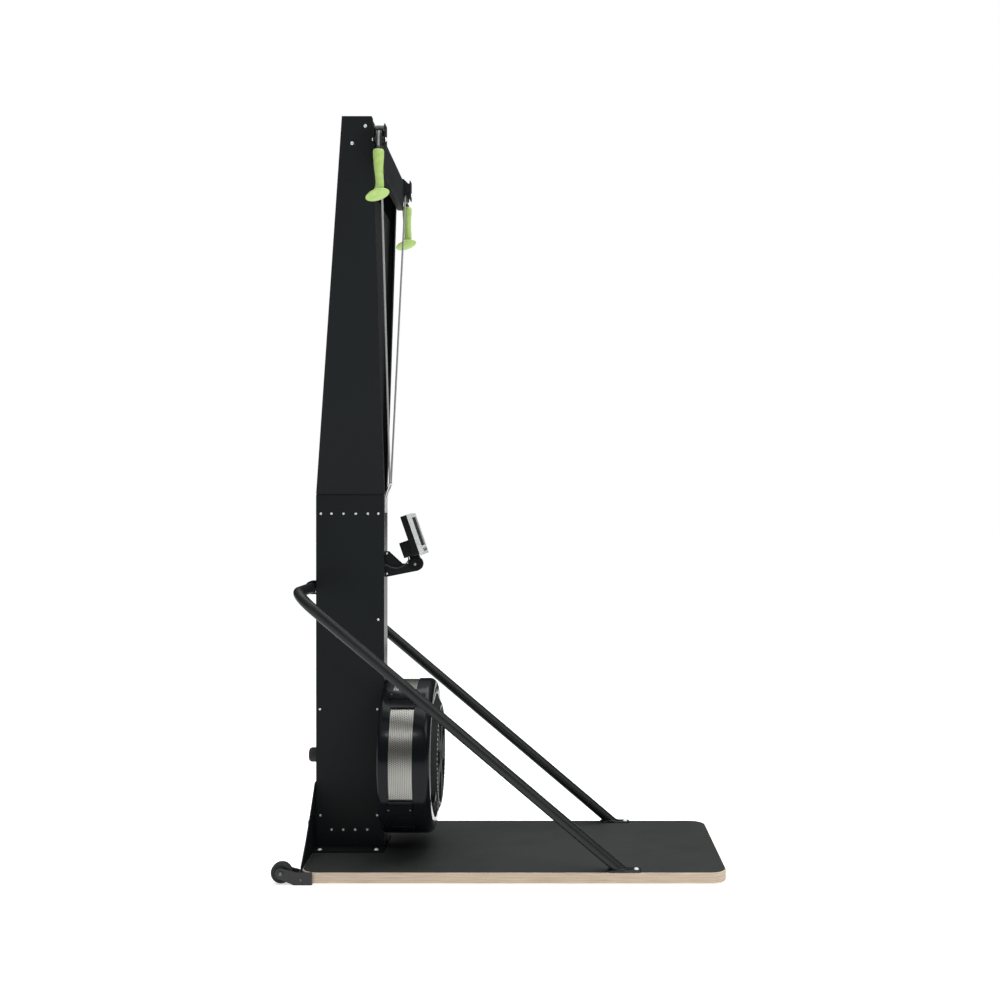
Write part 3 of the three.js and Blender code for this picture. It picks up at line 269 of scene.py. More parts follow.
def turned(profile, centre, axis, segments=96, closed=False):
    """Profile points (along, radius) turned about axis: centre + along * axis + radius * (cos, sin)."""
    axis = np.array(axis, float)
    side = np.cross(axis, (0, 1, 0) if abs(axis[1]) < 0.9 else (1, 0, 0))
    side /= np.linalg.norm(side)
    up = np.cross(axis, side)
    angle = np.linspace(0, 2 * np.pi, segments, endpoint=False)
    spoke = np.cos(angle)[:, None] * side + np.sin(angle)[:, None] * up
    along, radius = np.array(profile, float).T
    points = np.array(centre) + along[:, None, None] * axis + radius[:, None, None] * spoke
    return grid(points, wrap_rows=closed, wrap_columns=True)


def built(name, parts, body, material, stands_for=(), sharp=sharp_angle):
    """One mesh from several parts, with doubles merged and every face turned outwards."""
    vertices, faces, start = [], [], 0
    for part_vertices, part_faces in parts:
        vertices.append(part_vertices)
        faces += [[start + corner for corner in face] for face in part_faces]
        start += len(part_vertices)
    mesh = bpy.data.meshes.new(name)
    mesh.from_pydata(np.vstack(vertices).tolist(), [], faces)
    work = bmesh.new()
    work.from_mesh(mesh)
    bmesh.ops.remove_doubles(work, verts=work.verts, dist=merge_within)
    bmesh.ops.recalc_face_normals(work, faces=work.faces)
    work.to_mesh(mesh)
    work.free()
    return shown(mesh, body, material, stands_for, sharp)


def screw_head(place, axis, radius):
    """A domed head: height falls as 1 - r² outside a flat-bottomed round socket of half the radius."""
    height, socket, middle = 0.55 * radius, 0.48 * radius, 1e-5
    socket_floor = 0.2 * height
    dome_shares = np.linspace(0.5, 1.0, 6)
    dome = [(height * (1 - share**2) / (1 - dome_shares[0]**2), share * radius) for share in dome_shares]
    profile = [(socket_floor, middle), (socket_floor, socket), (height, socket), *dome[1:], (0.0, middle)]
    return turned(profile, place, axis, segments=18)


zinc = finish(
    "zinc", (0.8, 0.81, 0.82), (0.92, 0.92, 0.92), cloud=400.0, rough=(0.3, 0.42), metallic=0.25,
    grain=2500.0, relief=0.00002)
column_screw_radius, wing_screw_radius = 0.0036, 0.0048
side_low, side_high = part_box("column_side_left")
side_y = abs(side_low[1])
seam_screw_x, seam_screw_z = (-0.546, -0.514, -0.478, -0.441, -0.405, -0.3735), 1.041
foot_screw_x, foot_screw_z = (-0.514, -0.479, -0.443, -0.4065), 0.0906
side_places = [
    *((x, seam_screw_z) for x in seam_screw_x), *((x, foot_screw_z) for x in foot_screw_x),
    (-0.3735, 0.7226), (-0.549, 0.453), (-0.376, 0.453), (-0.5475, 0.134), (-0.3765, 0.134)]
column_screws = [
    screw_head((x, side * side_y, z), (0, side, 0), column_screw_radius)
    for side in (-1, 1) for x, z in side_places]
built("column_screws", column_screws, "frame", zinc, sharp=40)
wing_slope = 0.2566
wing_normal = np.array([0.0, 1.0, -wing_slope]) / np.hypot(1.0, wing_slope)
wing_places = [(-0.375, 0.3073, 2.131), (-0.414, 0.2958, 2.086)]
wing_screws = [
    screw_head((x, side * y, z), wing_normal * (1, side, 1), wing_screw_radius)
    for side in (-1, 1) for x, y, z in wing_places]
built("wing_screws", wing_screws, "frame", zinc, sharp=40)


# Seam strips
# Behind each row of seam screws a strip of the same black sheet stands inside the column. It joins the
# column to the head and closes the thin gap between them.
strip_inset, strip_drop, strip_rise = 0.0006, 0.06, 0.006
sheet_wall, strip_outside, strip_inside = 0.002, 0.0003, 0.0015
strip_rear, strip_front = side_low[0] + strip_inset, side_high[0] - strip_inset
strip_foot, strip_top = side_high[2] - strip_drop, side_high[2] + strip_rise
strip_outline = np.array([
    (strip_rear, strip_foot), (strip_front, strip_foot), (strip_front, strip_top), (strip_rear, strip_top)])
seam_strips = []
for side in (-1, 1):
    strip_faces = [side * (side_y - sheet_wall - inwards) for inwards in (strip_outside, strip_inside)]
    strip_rings = [
        np.column_stack([strip_outline[:, 0], np.full(4, face), strip_outline[:, 1]])
        for face in strip_faces]
    seam_strips.append(grid(np.stack(strip_rings), wrap_columns=True, caps=True))
built("seam_strips", seam_strips, "frame", powder_coat)


# Deck: plywood board, rubber mat and foot strips
# A 30 mm board of thin birch plies, whose edge shows them as light and darker lines. A 2 mm rubber mat is
# glued on top, and two rubber strips stand it off the floor.
def plywood_edge(name, plies, thickness):
    """Plies are stripes of height on Object Z, each with long grain along X and small dark gaps."""
    material = bpy.data.materials.new(name)
    material.use_nodes = True
    tree = material.node_tree
    shader = tree.nodes["Principled BSDF"]
    shader.inputs["Roughness"].default_value = 0.62
    place = tree.nodes.new("ShaderNodeTexCoord").outputs["Object"]
    split = tree.nodes.new("ShaderNodeSeparateXYZ")
    tree.links.new(place, split.inputs["Vector"])
    wander = tree.nodes.new("ShaderNodeTexNoise")
    wander.inputs["Scale"].default_value = 14.0
    tree.links.new(place, wander.inputs["Vector"])
    shifted = tree.nodes.new("ShaderNodeMath")
    shifted.operation = "MULTIPLY_ADD"
    shifted.inputs[1].default_value = 0.0009
    tree.links.new(wander.outputs["Fac"], shifted.inputs[0])
    tree.links.new(split.outputs["Z"], shifted.inputs[2])
    layer = tree.nodes.new("ShaderNodeMath")
    layer.operation = "MULTIPLY"
    layer.inputs[1].default_value = plies / thickness / 2
    tree.links.new(shifted.outputs["Value"], layer.inputs[0])
    phase = tree.nodes.new("ShaderNodeMath")
    phase.operation = "FRACT"
    tree.links.new(layer.outputs["Value"], phase.inputs[0])
    ply = tree.nodes.new("ShaderNodeValToRGB")
    ply.color_ramp.elements[0].position = 0.0
    ply.color_ramp.elements[0].color = (0.26, 0.18, 0.125, 1)
    ply.color_ramp.elements[1].position = 0.08
    ply.color_ramp.elements[1].color = (0.63, 0.54, 0.42, 1)
    for position, colour in ((0.48, (0.66, 0.57, 0.45, 1)), (0.52, (0.33, 0.24, 0.17, 1)),
                             (0.6, (0.5, 0.39, 0.29, 1)), (0.96, (0.53, 0.42, 0.32, 1))):
        ply.color_ramp.elements.new(position).color = colour
    tree.links.new(phase.outputs["Value"], ply.inputs["Fac"])
    stretch = tree.nodes.new("ShaderNodeMapping")
    stretch.inputs["Scale"].default_value = (6.0, 30.0, 260.0)
    tree.links.new(place, stretch.inputs["Vector"])
    grain = tree.nodes.new("ShaderNodeTexNoise")
    grain.inputs["Scale"].default_value = 2.0
    grain.inputs["Detail"].default_value = 8.0
    tree.links.new(stretch.outputs["Vector"], grain.inputs["Vector"])
    streak = tree.nodes.new("ShaderNodeValToRGB")
    streak.color_ramp.elements[0].position = 0.3
    streak.color_ramp.elements[0].color = (0.72, 0.68, 0.64, 1)
    streak.color_ramp.elements[1].position = 0.62
    streak.color_ramp.elements[1].color = (1, 1, 1, 1)
    tree.links.new(grain.outputs["Fac"], streak.inputs["Fac"])
    both = tree.nodes.new("ShaderNodeMix")
    both.data_type = "RGBA"
    both.blend_type = "MULTIPLY"
    both.inputs["Factor"].default_value = 1.0
    tree.links.new(ply.outputs["Color"], both.inputs["A"])
    tree.links.new(streak.outputs["Color"], both.inputs["B"])
    tree.links.new(both.outputs["Result"], shader.inputs["Base Color"])
    bump = tree.nodes.new("ShaderNodeBump")
    bump.inputs["Distance"].default_value = 0.0002
    tree.links.new(grain.outputs["Fac"], bump.inputs["Height"])
    tree.links.new(bump.outputs["Normal"], shader.inputs["Normal"])
    return material


board_low, board_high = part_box("deck_board")
plywood = plywood_edge("plywood", plies=13, thickness=board_high[2] - board_low[2])
rounded("deck_board", 0.0025, "frame", plywood, steps=3)
mat_rubber = finish(
    "mat_rubber", (0.0145, 0.0165, 0.0165), (0.0195, 0.022, 0.0215), cloud=9.0, rough=(0.6, 0.72),
    grain=700.0, relief=0.00025, specular=0.4)
rounded("deck_mat", 0.0008, "frame", mat_rubber)
strip_rubber = finish(
    "strip_rubber", (0.012, 0.012, 0.012), (0.018, 0.018, 0.018), cloud=60.0, rough=(0.7, 0.85),
    grain=500.0, relief=0.0002)
for strip_name in ("foot_strip_front", "foot_strip_rear"):
    rounded(strip_name, 0.0008, "frame", strip_rubber)


# Monitor cable
# A thin black cable leaves the back of the monitor's battery box, sags and enters the column at a grommet.
def pipe(path, radius, across, sides=20):
    """Rings along a path: point + radius * (cos t * side + sin t * up), with side square to the path."""
    path = np.array(path, float)
    heading = np.gradient(path, axis=0)
    heading /= np.linalg.norm(heading, axis=1)[:, None]
    side = np.cross(heading, across)
    side /= np.linalg.norm(side, axis=1)[:, None]
    up = np.cross(side, heading)
    angle = np.linspace(0, 2 * np.pi, sides, endpoint=False)[None, :, None]
    points = path[:, None] + radius * (np.cos(angle) * side[:, None] + np.sin(angle) * up[:, None])
    return grid(points, wrap_columns=True, caps=True)


def smooth_path(points, per_span=6):
    """A Catmull-Rom curve through the points: each span blends its two ends and their neighbours' slopes."""
    points = np.array(points, float)
    padded = np.vstack([2 * points[0] - points[1], points, 2 * points[-1] - points[-2]])
    t = np.linspace(0, 1, per_span, endpoint=False)[:, None]
    before, start, end, after = padded[:-3, None], padded[1:-2, None], padded[2:-1, None], padded[3:, None]
    curve = 0.5 * (2 * start + (end - before) * t + (2 * before - 5 * start + 4 * end - after) * t**2
                   + (3 * start - before - 3 * end + after) * t**3)
    return np.vstack([curve.reshape(-1, 3), points[-1:]])


cable_low, cable_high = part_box("monitor_cable")
pivot_x, pivot_z, pivot_reach = -0.265, 0.8885, 0.091
cable_y, grommet_rise = (cable_low[1] + cable_high[1]) / 2, 0.005
sag_shares = [
    (-0.22, 0.234), (-0.202, 0.182), (-0.215, 0.12), (-0.27, 0.041), (-0.369, -0.043), (-0.492, -0.104),
    (-0.626, -0.131), (-0.758, -0.113), (-0.862, -0.071), (-0.912, -0.045),
]
cable_route = [(pivot_x + x * pivot_reach, cable_y, pivot_z + z * pivot_reach) for x, z in sag_shares]
cable_route.append((cable_low[0], cable_y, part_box("cable_grommet")[0][2] + grommet_rise))
cable_path = smooth_path(cable_route)
cable_diameter = 0.004
jacket = finish(
    "cable_jacket", (0.012, 0.012, 0.013), (0.018, 0.018, 0.019), cloud=300.0, rough=(0.3, 0.42),
    grain=1500.0, relief=0.00003)
cable = built(
    "monitor_cable_run", [pipe(cable_path, cable_diameter / 2, (0, 1, 0))], None, jacket,
    ["monitor_cable"])
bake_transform(cable)


# Stay tubes
# Two 31.8 mm steel tubes rise from foot plates on the deck, bend behind the column and meet in its clamp.
# Each foot plate is welded to its tube and bolted down ahead of it, and like bolts hold the column's base.
tube_radius, tube_bend, tube_sides, tube_gap = 0.0159, 0.07, 40, 0.0002
stay_y, leg_cut = 0.282, 0.05
mat_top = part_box("deck_mat")[1][2]
clamp_low, clamp_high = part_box("stay_clamp")
tube_paint = finish(
    "tube_paint", (0.0068, 0.0086, 0.009), (0.0088, 0.0108, 0.0112), cloud=8.0, rough=(0.36, 0.44),
    grain=1100.0, relief=0.00005, specular=0.28)
stay_foot = np.array([0.344, stay_y, mat_top])
stay_corner = np.array([-0.578, stay_y, (clamp_low[2] + clamp_high[2]) / 2])
down = (stay_foot - stay_corner) / np.linalg.norm(stay_foot - stay_corner)
inward = np.array([0, -1.0, 0])
bend_middle = stay_corner + tube_bend * (down + inward)
turn = np.linspace(0, np.pi / 2, 20)[:, None]
bend = bend_middle - tube_bend * (np.cos(turn) * inward + np.sin(turn) * down)
leg = np.linspace(stay_foot - down * leg_cut, bend[0], 12, endpoint=False)
crossbar = np.linspace(bend[-1], (stay_corner[0], tube_gap, stay_corner[2]), 8)[1:]
stay_path = np.vstack([leg, bend, crossbar])

plate_height, corner_round = 0.004, 0.008
plate_top = mat_top + plate_height
plate_low, plate_high = np.array([0.306, 0.264]), np.array([0.400, 0.300])
plate_middle, plate_half = (plate_low + plate_high) / 2, (plate_high - plate_low) / 2
outline_angle = np.linspace(0, 2 * np.pi, 48, endpoint=False)
rim = np.stack([np.cos(outline_angle), np.sin(outline_angle)], axis=1)
plate_outline = np.sign(rim) * (plate_half - corner_round) + corner_round * rim
plate_row_shares = [(0.0, 0.0), (0.0, 1.0), (0.75, 1.0), (1.0, 0.93), (1.0, 0.0)]
tube_sunk, weld_rise, weld_bead = 0.001, 0.001, 0.0028
bead_angle = np.linspace(0, 2 * np.pi, 8, endpoint=False)[:, None, None]
for side_name, side in (("left", -1), ("right", 1)):
    flip = np.array([1, side, 1])
    leg_vertices, leg_faces = pipe(
        stay_path * flip, tube_radius, np.cross(down * flip, (0, 1, 0)), tube_sides)
    # The tube's lowest ring slides along the leg to the foot plate, which cuts the tube level.
    foot_ring = leg_vertices[:tube_sides]
    foot_slide = (plate_top - tube_sunk - foot_ring[:, 2:]) / down[2]
    leg_vertices[:tube_sides] = foot_ring + foot_slide * (down * flip)
    plate_rows = np.stack([
        np.column_stack([
            plate_middle[0] + plate_outline[:, 0] * out,
            (plate_middle[1] + plate_outline[:, 1] * out) * side,
            np.full(len(rim), mat_top + up * plate_height),
        ]) for up, out in plate_row_shares
    ])
    weld_slide = (plate_top + weld_rise - foot_ring[:, 2:]) / down[2]
    weld_path = foot_ring + weld_slide * (down * flip)
    weld_out = (weld_path - weld_path.mean(0)) / tube_radius
    bead_ring = np.cos(bead_angle) * weld_out + np.sin(bead_angle) * np.array([0.0, 0.0, 1.0])
    bead = grid(weld_path + weld_bead * bead_ring, wrap_rows=True, wrap_columns=True)
    built(
        f"stay_{side_name}", [(leg_vertices, leg_faces), grid(plate_rows, wrap_columns=True), bead], "frame",
        tube_paint, [f"stay_tube_{side_name}"])
foot_bolt_x, bolt_radius = 0.387, 0.0075
base_bolt_x, base_bolt_y, base_flange = (-0.5427, -0.374), 0.081, 0.005
foot_bolts = [
    screw_head((foot_bolt_x, side * stay_y, plate_top), (0, 0, 1), bolt_radius) for side in (-1, 1)]
base_bolts = [
    screw_head((x, side * base_bolt_y, mat_top + base_flange), (0, 0, 1), bolt_radius)
    for side in (-1, 1) for x in base_bolt_x]
built("deck_bolts", foot_bolts + base_bolts, "frame", zinc, sharp=40)


# Pulley brackets and pulleys
# At each end of the header a folded bracket holds a grooved nylon pulley between two ears. Bright spacer
# sleeves keep the ears apart, and the axle's bright nuts show on both sides.
moulded = finish(
    "moulded_plastic", (0.012, 0.0125, 0.013), (0.016, 0.0165, 0.017), cloud=40.0, rough=(0.42, 0.54),
    grain=1400.0, relief=0.00005, specular=0.45)
pulley_low, pulley_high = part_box("pulley_left")
pulley_x, pulley_y, pulley_z = -0.331, 0.338, (pulley_low[2] + pulley_high[2]) / 2
cord_radius, cord_bend, groove_radius = 0.003, 0.022, 0.0033
groove_angle = np.linspace(-np.pi / 2, np.pi / 2, 9)
groove = [(groove_radius * np.sin(a), cord_bend - groove_radius * np.cos(a)) for a in groove_angle]
pulley_flank = [
    (-0.0137, 0.0043), (-0.0137, 0.0076), (-0.008, 0.008), (-0.008, 0.0225), (-0.0072, 0.024),
    (-0.0052, 0.024)]
pulley_profile = [*pulley_flank, *groove, *((-along, radius) for along, radius in reversed(pulley_flank))]
for side_name, side in (("left", -1), ("right", 1)):
    rounded(f"pulley_bracket_{side_name}", 0.0006, "frame", powder_coat)
    hub = (pulley_x, side * pulley_y, pulley_z)
    built(
        f"pulley_wheel_{side_name}", [turned(pulley_profile, hub, (1, 0, 0), closed=True)],
        f"{side_name}_pulley", moulded, [f"pulley_{side_name}"])
ear_rear, ear_front, nut_radius = -0.348, -0.314, 0.0066
sleeve_places, sleeve_z, sleeve_radius, sleeve_inset = (0.3423, 0.3263), 2.119, 0.0041, 0.0032
sleeve_rear, sleeve_front = ear_rear + sleeve_inset, ear_front - sleeve_inset
axle_nuts, sleeves = [], []
for side in (-1, 1):
    for face, outwards in ((ear_rear, -1), (ear_front, 1)):
        axle_nuts.append(screw_head((face, side * pulley_y, pulley_z), (outwards, 0, 0), nut_radius))
    for sleeve_y in sleeve_places:
        sleeve_path = np.linspace(
            (sleeve_rear, side * sleeve_y, sleeve_z), (sleeve_front, side * sleeve_y, sleeve_z), 4)
        sleeves.append(pipe(sleeve_path, sleeve_radius, (0, 1, 0), 24))
dull_steel = finish(
    "dull_steel", (0.14, 0.145, 0.15), (0.2, 0.205, 0.21), cloud=300.0, rough=(0.36, 0.48), metallic=0.6,
    grain=1600.0, relief=0.00002)
built("pulley_axle_nuts", axle_nuts, "frame", zinc, sharp=40)
built("bracket_sleeves", sleeves, "frame", dull_steel, sharp=40)


# Handles
# One-piece moulded grips in lime green: a shaft that narrows downwards and opens into an oval rest, tilted
# so that its underside faces out. A black ferrule on top holds the end of the light braided cord. The short
# cord above it fills the gap to the pulley.
def handle_surface(top):
    """Rings down the shaft and round the rest: (1 - w) * upright ring + w * ring tilted about its middle.

    Each ring is (drop, half length in X, half width in Y, share w of the tilt, shift in X).
    """
    rings = np.array([
        (0.0, 0.0001, 0.0001, 0, 0), (0.0, 0.0118, 0.0118, 0, 0), (0.0012, 0.0140, 0.0140, 0, 0),
        (0.004, 0.0152, 0.0152, 0, 0), (0.012, 0.0155, 0.0155, 0, 0), (0.022, 0.0150, 0.0150, 0, 0),
        (0.034, 0.0139, 0.0139, 0, 0), (0.048, 0.0128, 0.0128, 0, 0.0002), (0.062, 0.0120, 0.0120, 0, 0.001),
        (0.076, 0.0115, 0.0115, 0, 0.0022), (0.088, 0.0114, 0.0114, 0, 0.0032),
        (0.097, 0.0116, 0.0115, 0.02, 0.0036), (0.1035, 0.0124, 0.0120, 0.12, 0.0036),
        (0.108, 0.0138, 0.0129, 0.35, 0.0032), (0.1125, 0.0166, 0.0147, 0.7, 0.002),
        (0.1165, 0.0213, 0.0173, 0.92, -0.0005), (0.1193, 0.0270, 0.0200, 1, -0.002),
        (0.1216, 0.0315, 0.0218, 1, -0.003), (0.1235, 0.0340, 0.0227, 1, -0.003),
        (0.1250, 0.0345, 0.0230, 1, -0.003), (0.1264, 0.0340, 0.0227, 1, -0.003),
        (0.1272, 0.0326, 0.0218, 1, -0.003), (0.1274, 0.0305, 0.0203, 1, -0.003),
        (0.1284, 0.0270, 0.0180, 1, -0.003), (0.1300, 0.0200, 0.0133, 1, -0.003),
        (0.1310, 0.0100, 0.0066, 1, -0.003), (0.1312, 0.0001, 0.0001, 1, -0.003),
    ])
    rest_middle = np.array([-0.003, 0.0, -0.1250])
    roll, pitch = np.radians(-20), np.radians(-25)
    about_y = np.array([
        [np.cos(roll), 0, np.sin(roll)], [0, 1, 0], [-np.sin(roll), 0, np.cos(roll)]])
    about_x = np.array([
        [1, 0, 0], [0, np.cos(pitch), -np.sin(pitch)], [0, np.sin(pitch), np.cos(pitch)]])
    angle = np.linspace(0, 2 * np.pi, 72, endpoint=False)
    drop, half_x, half_y, share, shift = rings.T[:, :, None]
    across, along = shift + half_x * np.cos(angle), half_y * np.sin(angle)
    upright = np.stack(np.broadcast_arrays(across, along, -drop), axis=-1)
    tilted = rest_middle + (upright - rest_middle) @ (about_x @ about_y).T
    return grid(np.array(top) + upright + share[..., None] * (tilted - upright), wrap_columns=True)


handle_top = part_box("handle_left")[1][2]
lime_grip = finish(
    "lime_grip", (0.34, 0.505, 0.14), (0.4, 0.565, 0.17), cloud=70.0, rough=(0.42, 0.52),
    grain=900.0, relief=0.00012, specular=0.4)
braid = finish(
    "cord_braid", (0.15, 0.15, 0.15), (0.4, 0.4, 0.39), cloud=900.0, rough=(0.6, 0.8),
    grain=1300.0, relief=0.0004)
ferrule_foot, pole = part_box("cord_ferrule_left")[0][2], 0.0001
ferrule_profile = [
    (0.0, pole), (0.0, 0.0066), (0.0006, 0.007), (0.0048, 0.007), (0.0066, 0.0062), (0.0102, 0.0042),
    (0.0107, 0.0036), (0.0107, pole)]
for side_name, side in (("left", -1), ("right", 1)):
    hang = np.array([pulley_x, side * (pulley_y + cord_bend), handle_top])
    built(
        f"grip_{side_name}", [handle_surface(hang)], f"{side_name}_handle", lime_grip,
        [f"handle_{side_name}"], sharp=60)
    built(
        f"ferrule_{side_name}", [turned(ferrule_profile, (hang[0], hang[1], ferrule_foot), (0, 0, 1), 32)],
        f"{side_name}_handle", moulded, [f"cord_ferrule_{side_name}"])
    drop_low, drop_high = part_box(f"handle_cord_{side_name}")
    drop = np.linspace((hang[0], hang[1], drop_low[2]), (hang[0], hang[1], drop_high[2]), 25)
    drop_cord = built(
        f"handle_cord_run_{side_name}", [pipe(drop, cord_radius, (1, 0, 0), 16)], None, braid,
        [f"handle_cord_{side_name}"])
    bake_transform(drop_cord)


# Drive cords and return cords
# Light grey braided 6 mm cords run from each handle over its pulley, down the V, through a ring of the steel
# guide and into the column to the moulded spool. Each spool's black elastic return cord stands beside it.
seam_z = 1.097
column_front_x = -0.356
guide_reach, guide_rise, guide_y = 0.014, 0.033, 0.013
entry_shares = [(0.71, 0.97, 0.61), (0.14, 0.94, 0.24), (-0.39, 0.92, -0.12), (-0.86, 0.96, -0.64)]
guide_away = np.array([guide_y - pulley_y, seam_z + guide_rise - pulley_z])
guide_bearing = np.arctan2(guide_away[1], guide_away[0]) + 2 * np.pi
wrap_end = guide_bearing - np.arccos(cord_bend / np.linalg.norm(guide_away))
elastic = finish(
    "return_elastic", (0.007, 0.007, 0.007), (0.024, 0.024, 0.024), cloud=900.0, rough=(0.6, 0.8),
    grain=1300.0, relief=0.0004)
axle_z = 0.309
spool_x, spool_cord_y = {"left": -0.426, "right": -0.456}, 0.029
wrap = np.linspace(0, wrap_end, 33)
for side_name, side in (("left", -1), ("right", 1)):
    over = np.stack([
        np.full(len(wrap), pulley_x), side * (pulley_y + cord_bend * np.cos(wrap)),
        pulley_z + cord_bend * np.sin(wrap)], axis=1)
    lead = [(pulley_x, over[0][1], pulley_z - 2 * cord_radius)]
    ring = [(column_front_x + guide_reach, side * guide_y, seam_z + guide_rise)]
    entry = [
        (column_front_x + x * guide_reach, side * y * guide_y, seam_z + z * guide_rise)
        for x, y, z in entry_shares]
    run = np.vstack([lead, over, ring, entry, [(spool_x[side_name], -spool_cord_y, axle_z)]])
    built(
        f"drive_cord_run_{side_name}", [pipe(run, cord_radius, (1, 0, 0), 16)], "frame", braid,
        [f"drive_cord_{side_name}"])
    return_low, return_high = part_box(f"return_cord_{side_name}")
    return_foot = (spool_x[side_name], spool_cord_y, return_low[2])
    return_run = np.linspace(return_foot, (*return_foot[:2], return_high[2]), 12)
    built(
        f"return_cord_{side_name}_run", [pipe(return_run, cord_radius, (1, 0, 0), 16)], "frame", elastic,
        [f"return_cord_{side_name}"])
rounded("cord_guide", 0.0004, "frame", zinc)
for spool_name, spool_body in (("cord_spool_left", "left_spool"), ("cord_spool_right", "right_spool")):
    rounded(spool_name, 0.0005, spool_body, moulded)


# Fan housing
# Two gloss-black moulded shells hold a silver perforated band between them. Lugs with screws join the
# shells at four places, and a closed guard covers the lower part of the band.
def quarter(radius, face, towards, round_radius, steps=10):
    """A quarter round from the rim at radius to the flat at face: centre + round_radius * (cos, sin)."""
    angle = np.linspace(0, np.pi / 2, steps)
    along = face + towards * round_radius * (np.sin(angle) - 1)
    return list(zip(along, radius - round_radius * (1 - np.cos(angle))))


def ring_block(radii, spread, x_range, steps=16):
    """A block bent round the fan's axle: radius from radii, angle over spread in degrees, X over x_range."""
    angle = np.radians(np.linspace(*spread, steps))[:, None]
    radius = np.array([radii[0], radii[1], radii[1], radii[0]])
    along = np.array([x_range[0], x_range[0], x_range[1], x_range[1]])
    points = np.stack(np.broadcast_arrays(
        along, radius * np.cos(angle), axle_z + radius * np.sin(angle)), axis=-1)
    return grid(points, wrap_columns=True, caps=True)


def off_axle(along, radius, degrees):
    """The place at a radius and an angle about the fan's axle, and the direction outwards there."""
    spoke = np.radians(degrees)
    outwards = (0, np.cos(spoke), np.sin(spoke))
    return (along, radius * outwards[1], axle_z + radius * outwards[2]), outwards


fan_centre = (0.0, 0.0, axle_z)
fan_radius, shell_wall, rim_chamfer = 0.231, 0.0025, 0.0008
rear_hole, rear_round, front_round = 0.030, 0.012, 0.022
rear_face, rear_rim, front_rim, front_face = -0.3557, -0.322, -0.253, -0.202
gloss_black = finish(
    "gloss_black", (0.0045, 0.006, 0.0072), (0.0058, 0.0074, 0.0086), cloud=12.0, rough=(0.13, 0.19),
    grain=500.0, relief=0.00002, specular=0.14)
rear_profile = [
    (rear_rim, fan_radius - rim_chamfer), (rear_rim - rim_chamfer, fan_radius),
    *quarter(fan_radius, rear_face, -1, rear_round), (rear_face, rear_hole),
    (rear_face + shell_wall, rear_hole),
    *quarter(fan_radius - shell_wall, rear_face + shell_wall, -1, rear_round - shell_wall)[::-1],
    (rear_rim, fan_radius - shell_wall),
]
lug_inner, pad_outer, arm_outer, pad_half_angle = 0.2288, 0.236, 0.2343, 4.5
pad_rear, arm_rear, guard_rear, guard_front = -0.330, -0.3225, -0.3223, -0.2533
pad_angles = [58.5, 121.5, -31.5, 211.5]
arm_spreads = [(46, 60), (120, 134), (-34, -24), (204, 214)]
boss_x, boss_foot, screw_foot, lug_screw_radius = (-0.3235, -0.2605), 0.2325, 0.2352, 0.0034
boss_profile = [(0.0, pole), (0.0, 0.0072), (0.0022, 0.0072), (0.0033, 0.0062), (0.0033, pole)]
lug_parts, lug_screws = [], []
for pad_angle, arm_spread in zip(pad_angles, arm_spreads):
    pad_spread = (pad_angle - pad_half_angle, pad_angle + pad_half_angle)
    lug_parts.append(ring_block((lug_inner, pad_outer), pad_spread, (pad_rear, guard_front)))
    lug_parts.append(ring_block((lug_inner, arm_outer), arm_spread, (arm_rear, guard_front), steps=24))
    for x in boss_x:
        lug_parts.append(turned(boss_profile, *off_axle(x, boss_foot, pad_angle), 28))
        lug_screws.append(screw_head(*off_axle(x, screw_foot, pad_angle), lug_screw_radius))
guard = ring_block((lug_inner, fan_radius), (204, 336), (guard_rear, guard_front), steps=80)
rib_foot, cross_rib_top, edge_rib_top, cross_rib_spread, edge_rib_width = 0.2305, 0.2328, 0.2322, 2.4, 0.0038
guard_ribs = [
    ring_block((rib_foot, cross_rib_top), (start, start + cross_rib_spread), (guard_rear, guard_front))
    for start in (219, 232, 305.6, 318.6)]
edge_rib_ranges = ((guard_rear, guard_rear + edge_rib_width), (guard_front - edge_rib_width, guard_front))
guard_ribs += [
    ring_block((rib_foot, edge_rib_top), spread, x_range, steps=12)
    for spread in ((221, 232), (308, 319)) for x_range in edge_rib_ranges]
built(
    "rear_shell", [turned(rear_profile, fan_centre, (1, 0, 0), 192, closed=True)], "frame", gloss_black,
    ["fan_rear_shell"])
edged(built("shell_lugs", lug_parts, "frame", gloss_black), 0.0008, steps=3)
edged(built("lower_guard", [guard, *guard_ribs], "frame", gloss_black), 0.0006, steps=3)
built("lug_screws", lug_screws, "frame", dull_steel, sharp=40)

mouth_radius, mouth_chamfer, ledge_radius, ledge_x = 0.1853, 0.001, 0.173, -0.211
front_profile = [
    (front_rim, fan_radius - rim_chamfer), (front_rim + rim_chamfer, fan_radius),
    *quarter(fan_radius, front_face, 1, front_round), (front_face, mouth_radius + mouth_chamfer),
    (front_face - mouth_chamfer, mouth_radius), (ledge_x, mouth_radius), (ledge_x, ledge_radius),
    (ledge_x - shell_wall, ledge_radius),
    (ledge_x - shell_wall, mouth_radius + shell_wall), (front_face - shell_wall, mouth_radius + shell_wall),
    *quarter(fan_radius - shell_wall, front_face - shell_wall, 1, front_round - shell_wall)[::-1],
    (front_rim, fan_radius - shell_wall),
]
built(
    "front_shell", [turned(front_profile, fan_centre, (1, 0, 0), 192, closed=True)], "frame", gloss_black,
    ["fan_front_shell"])


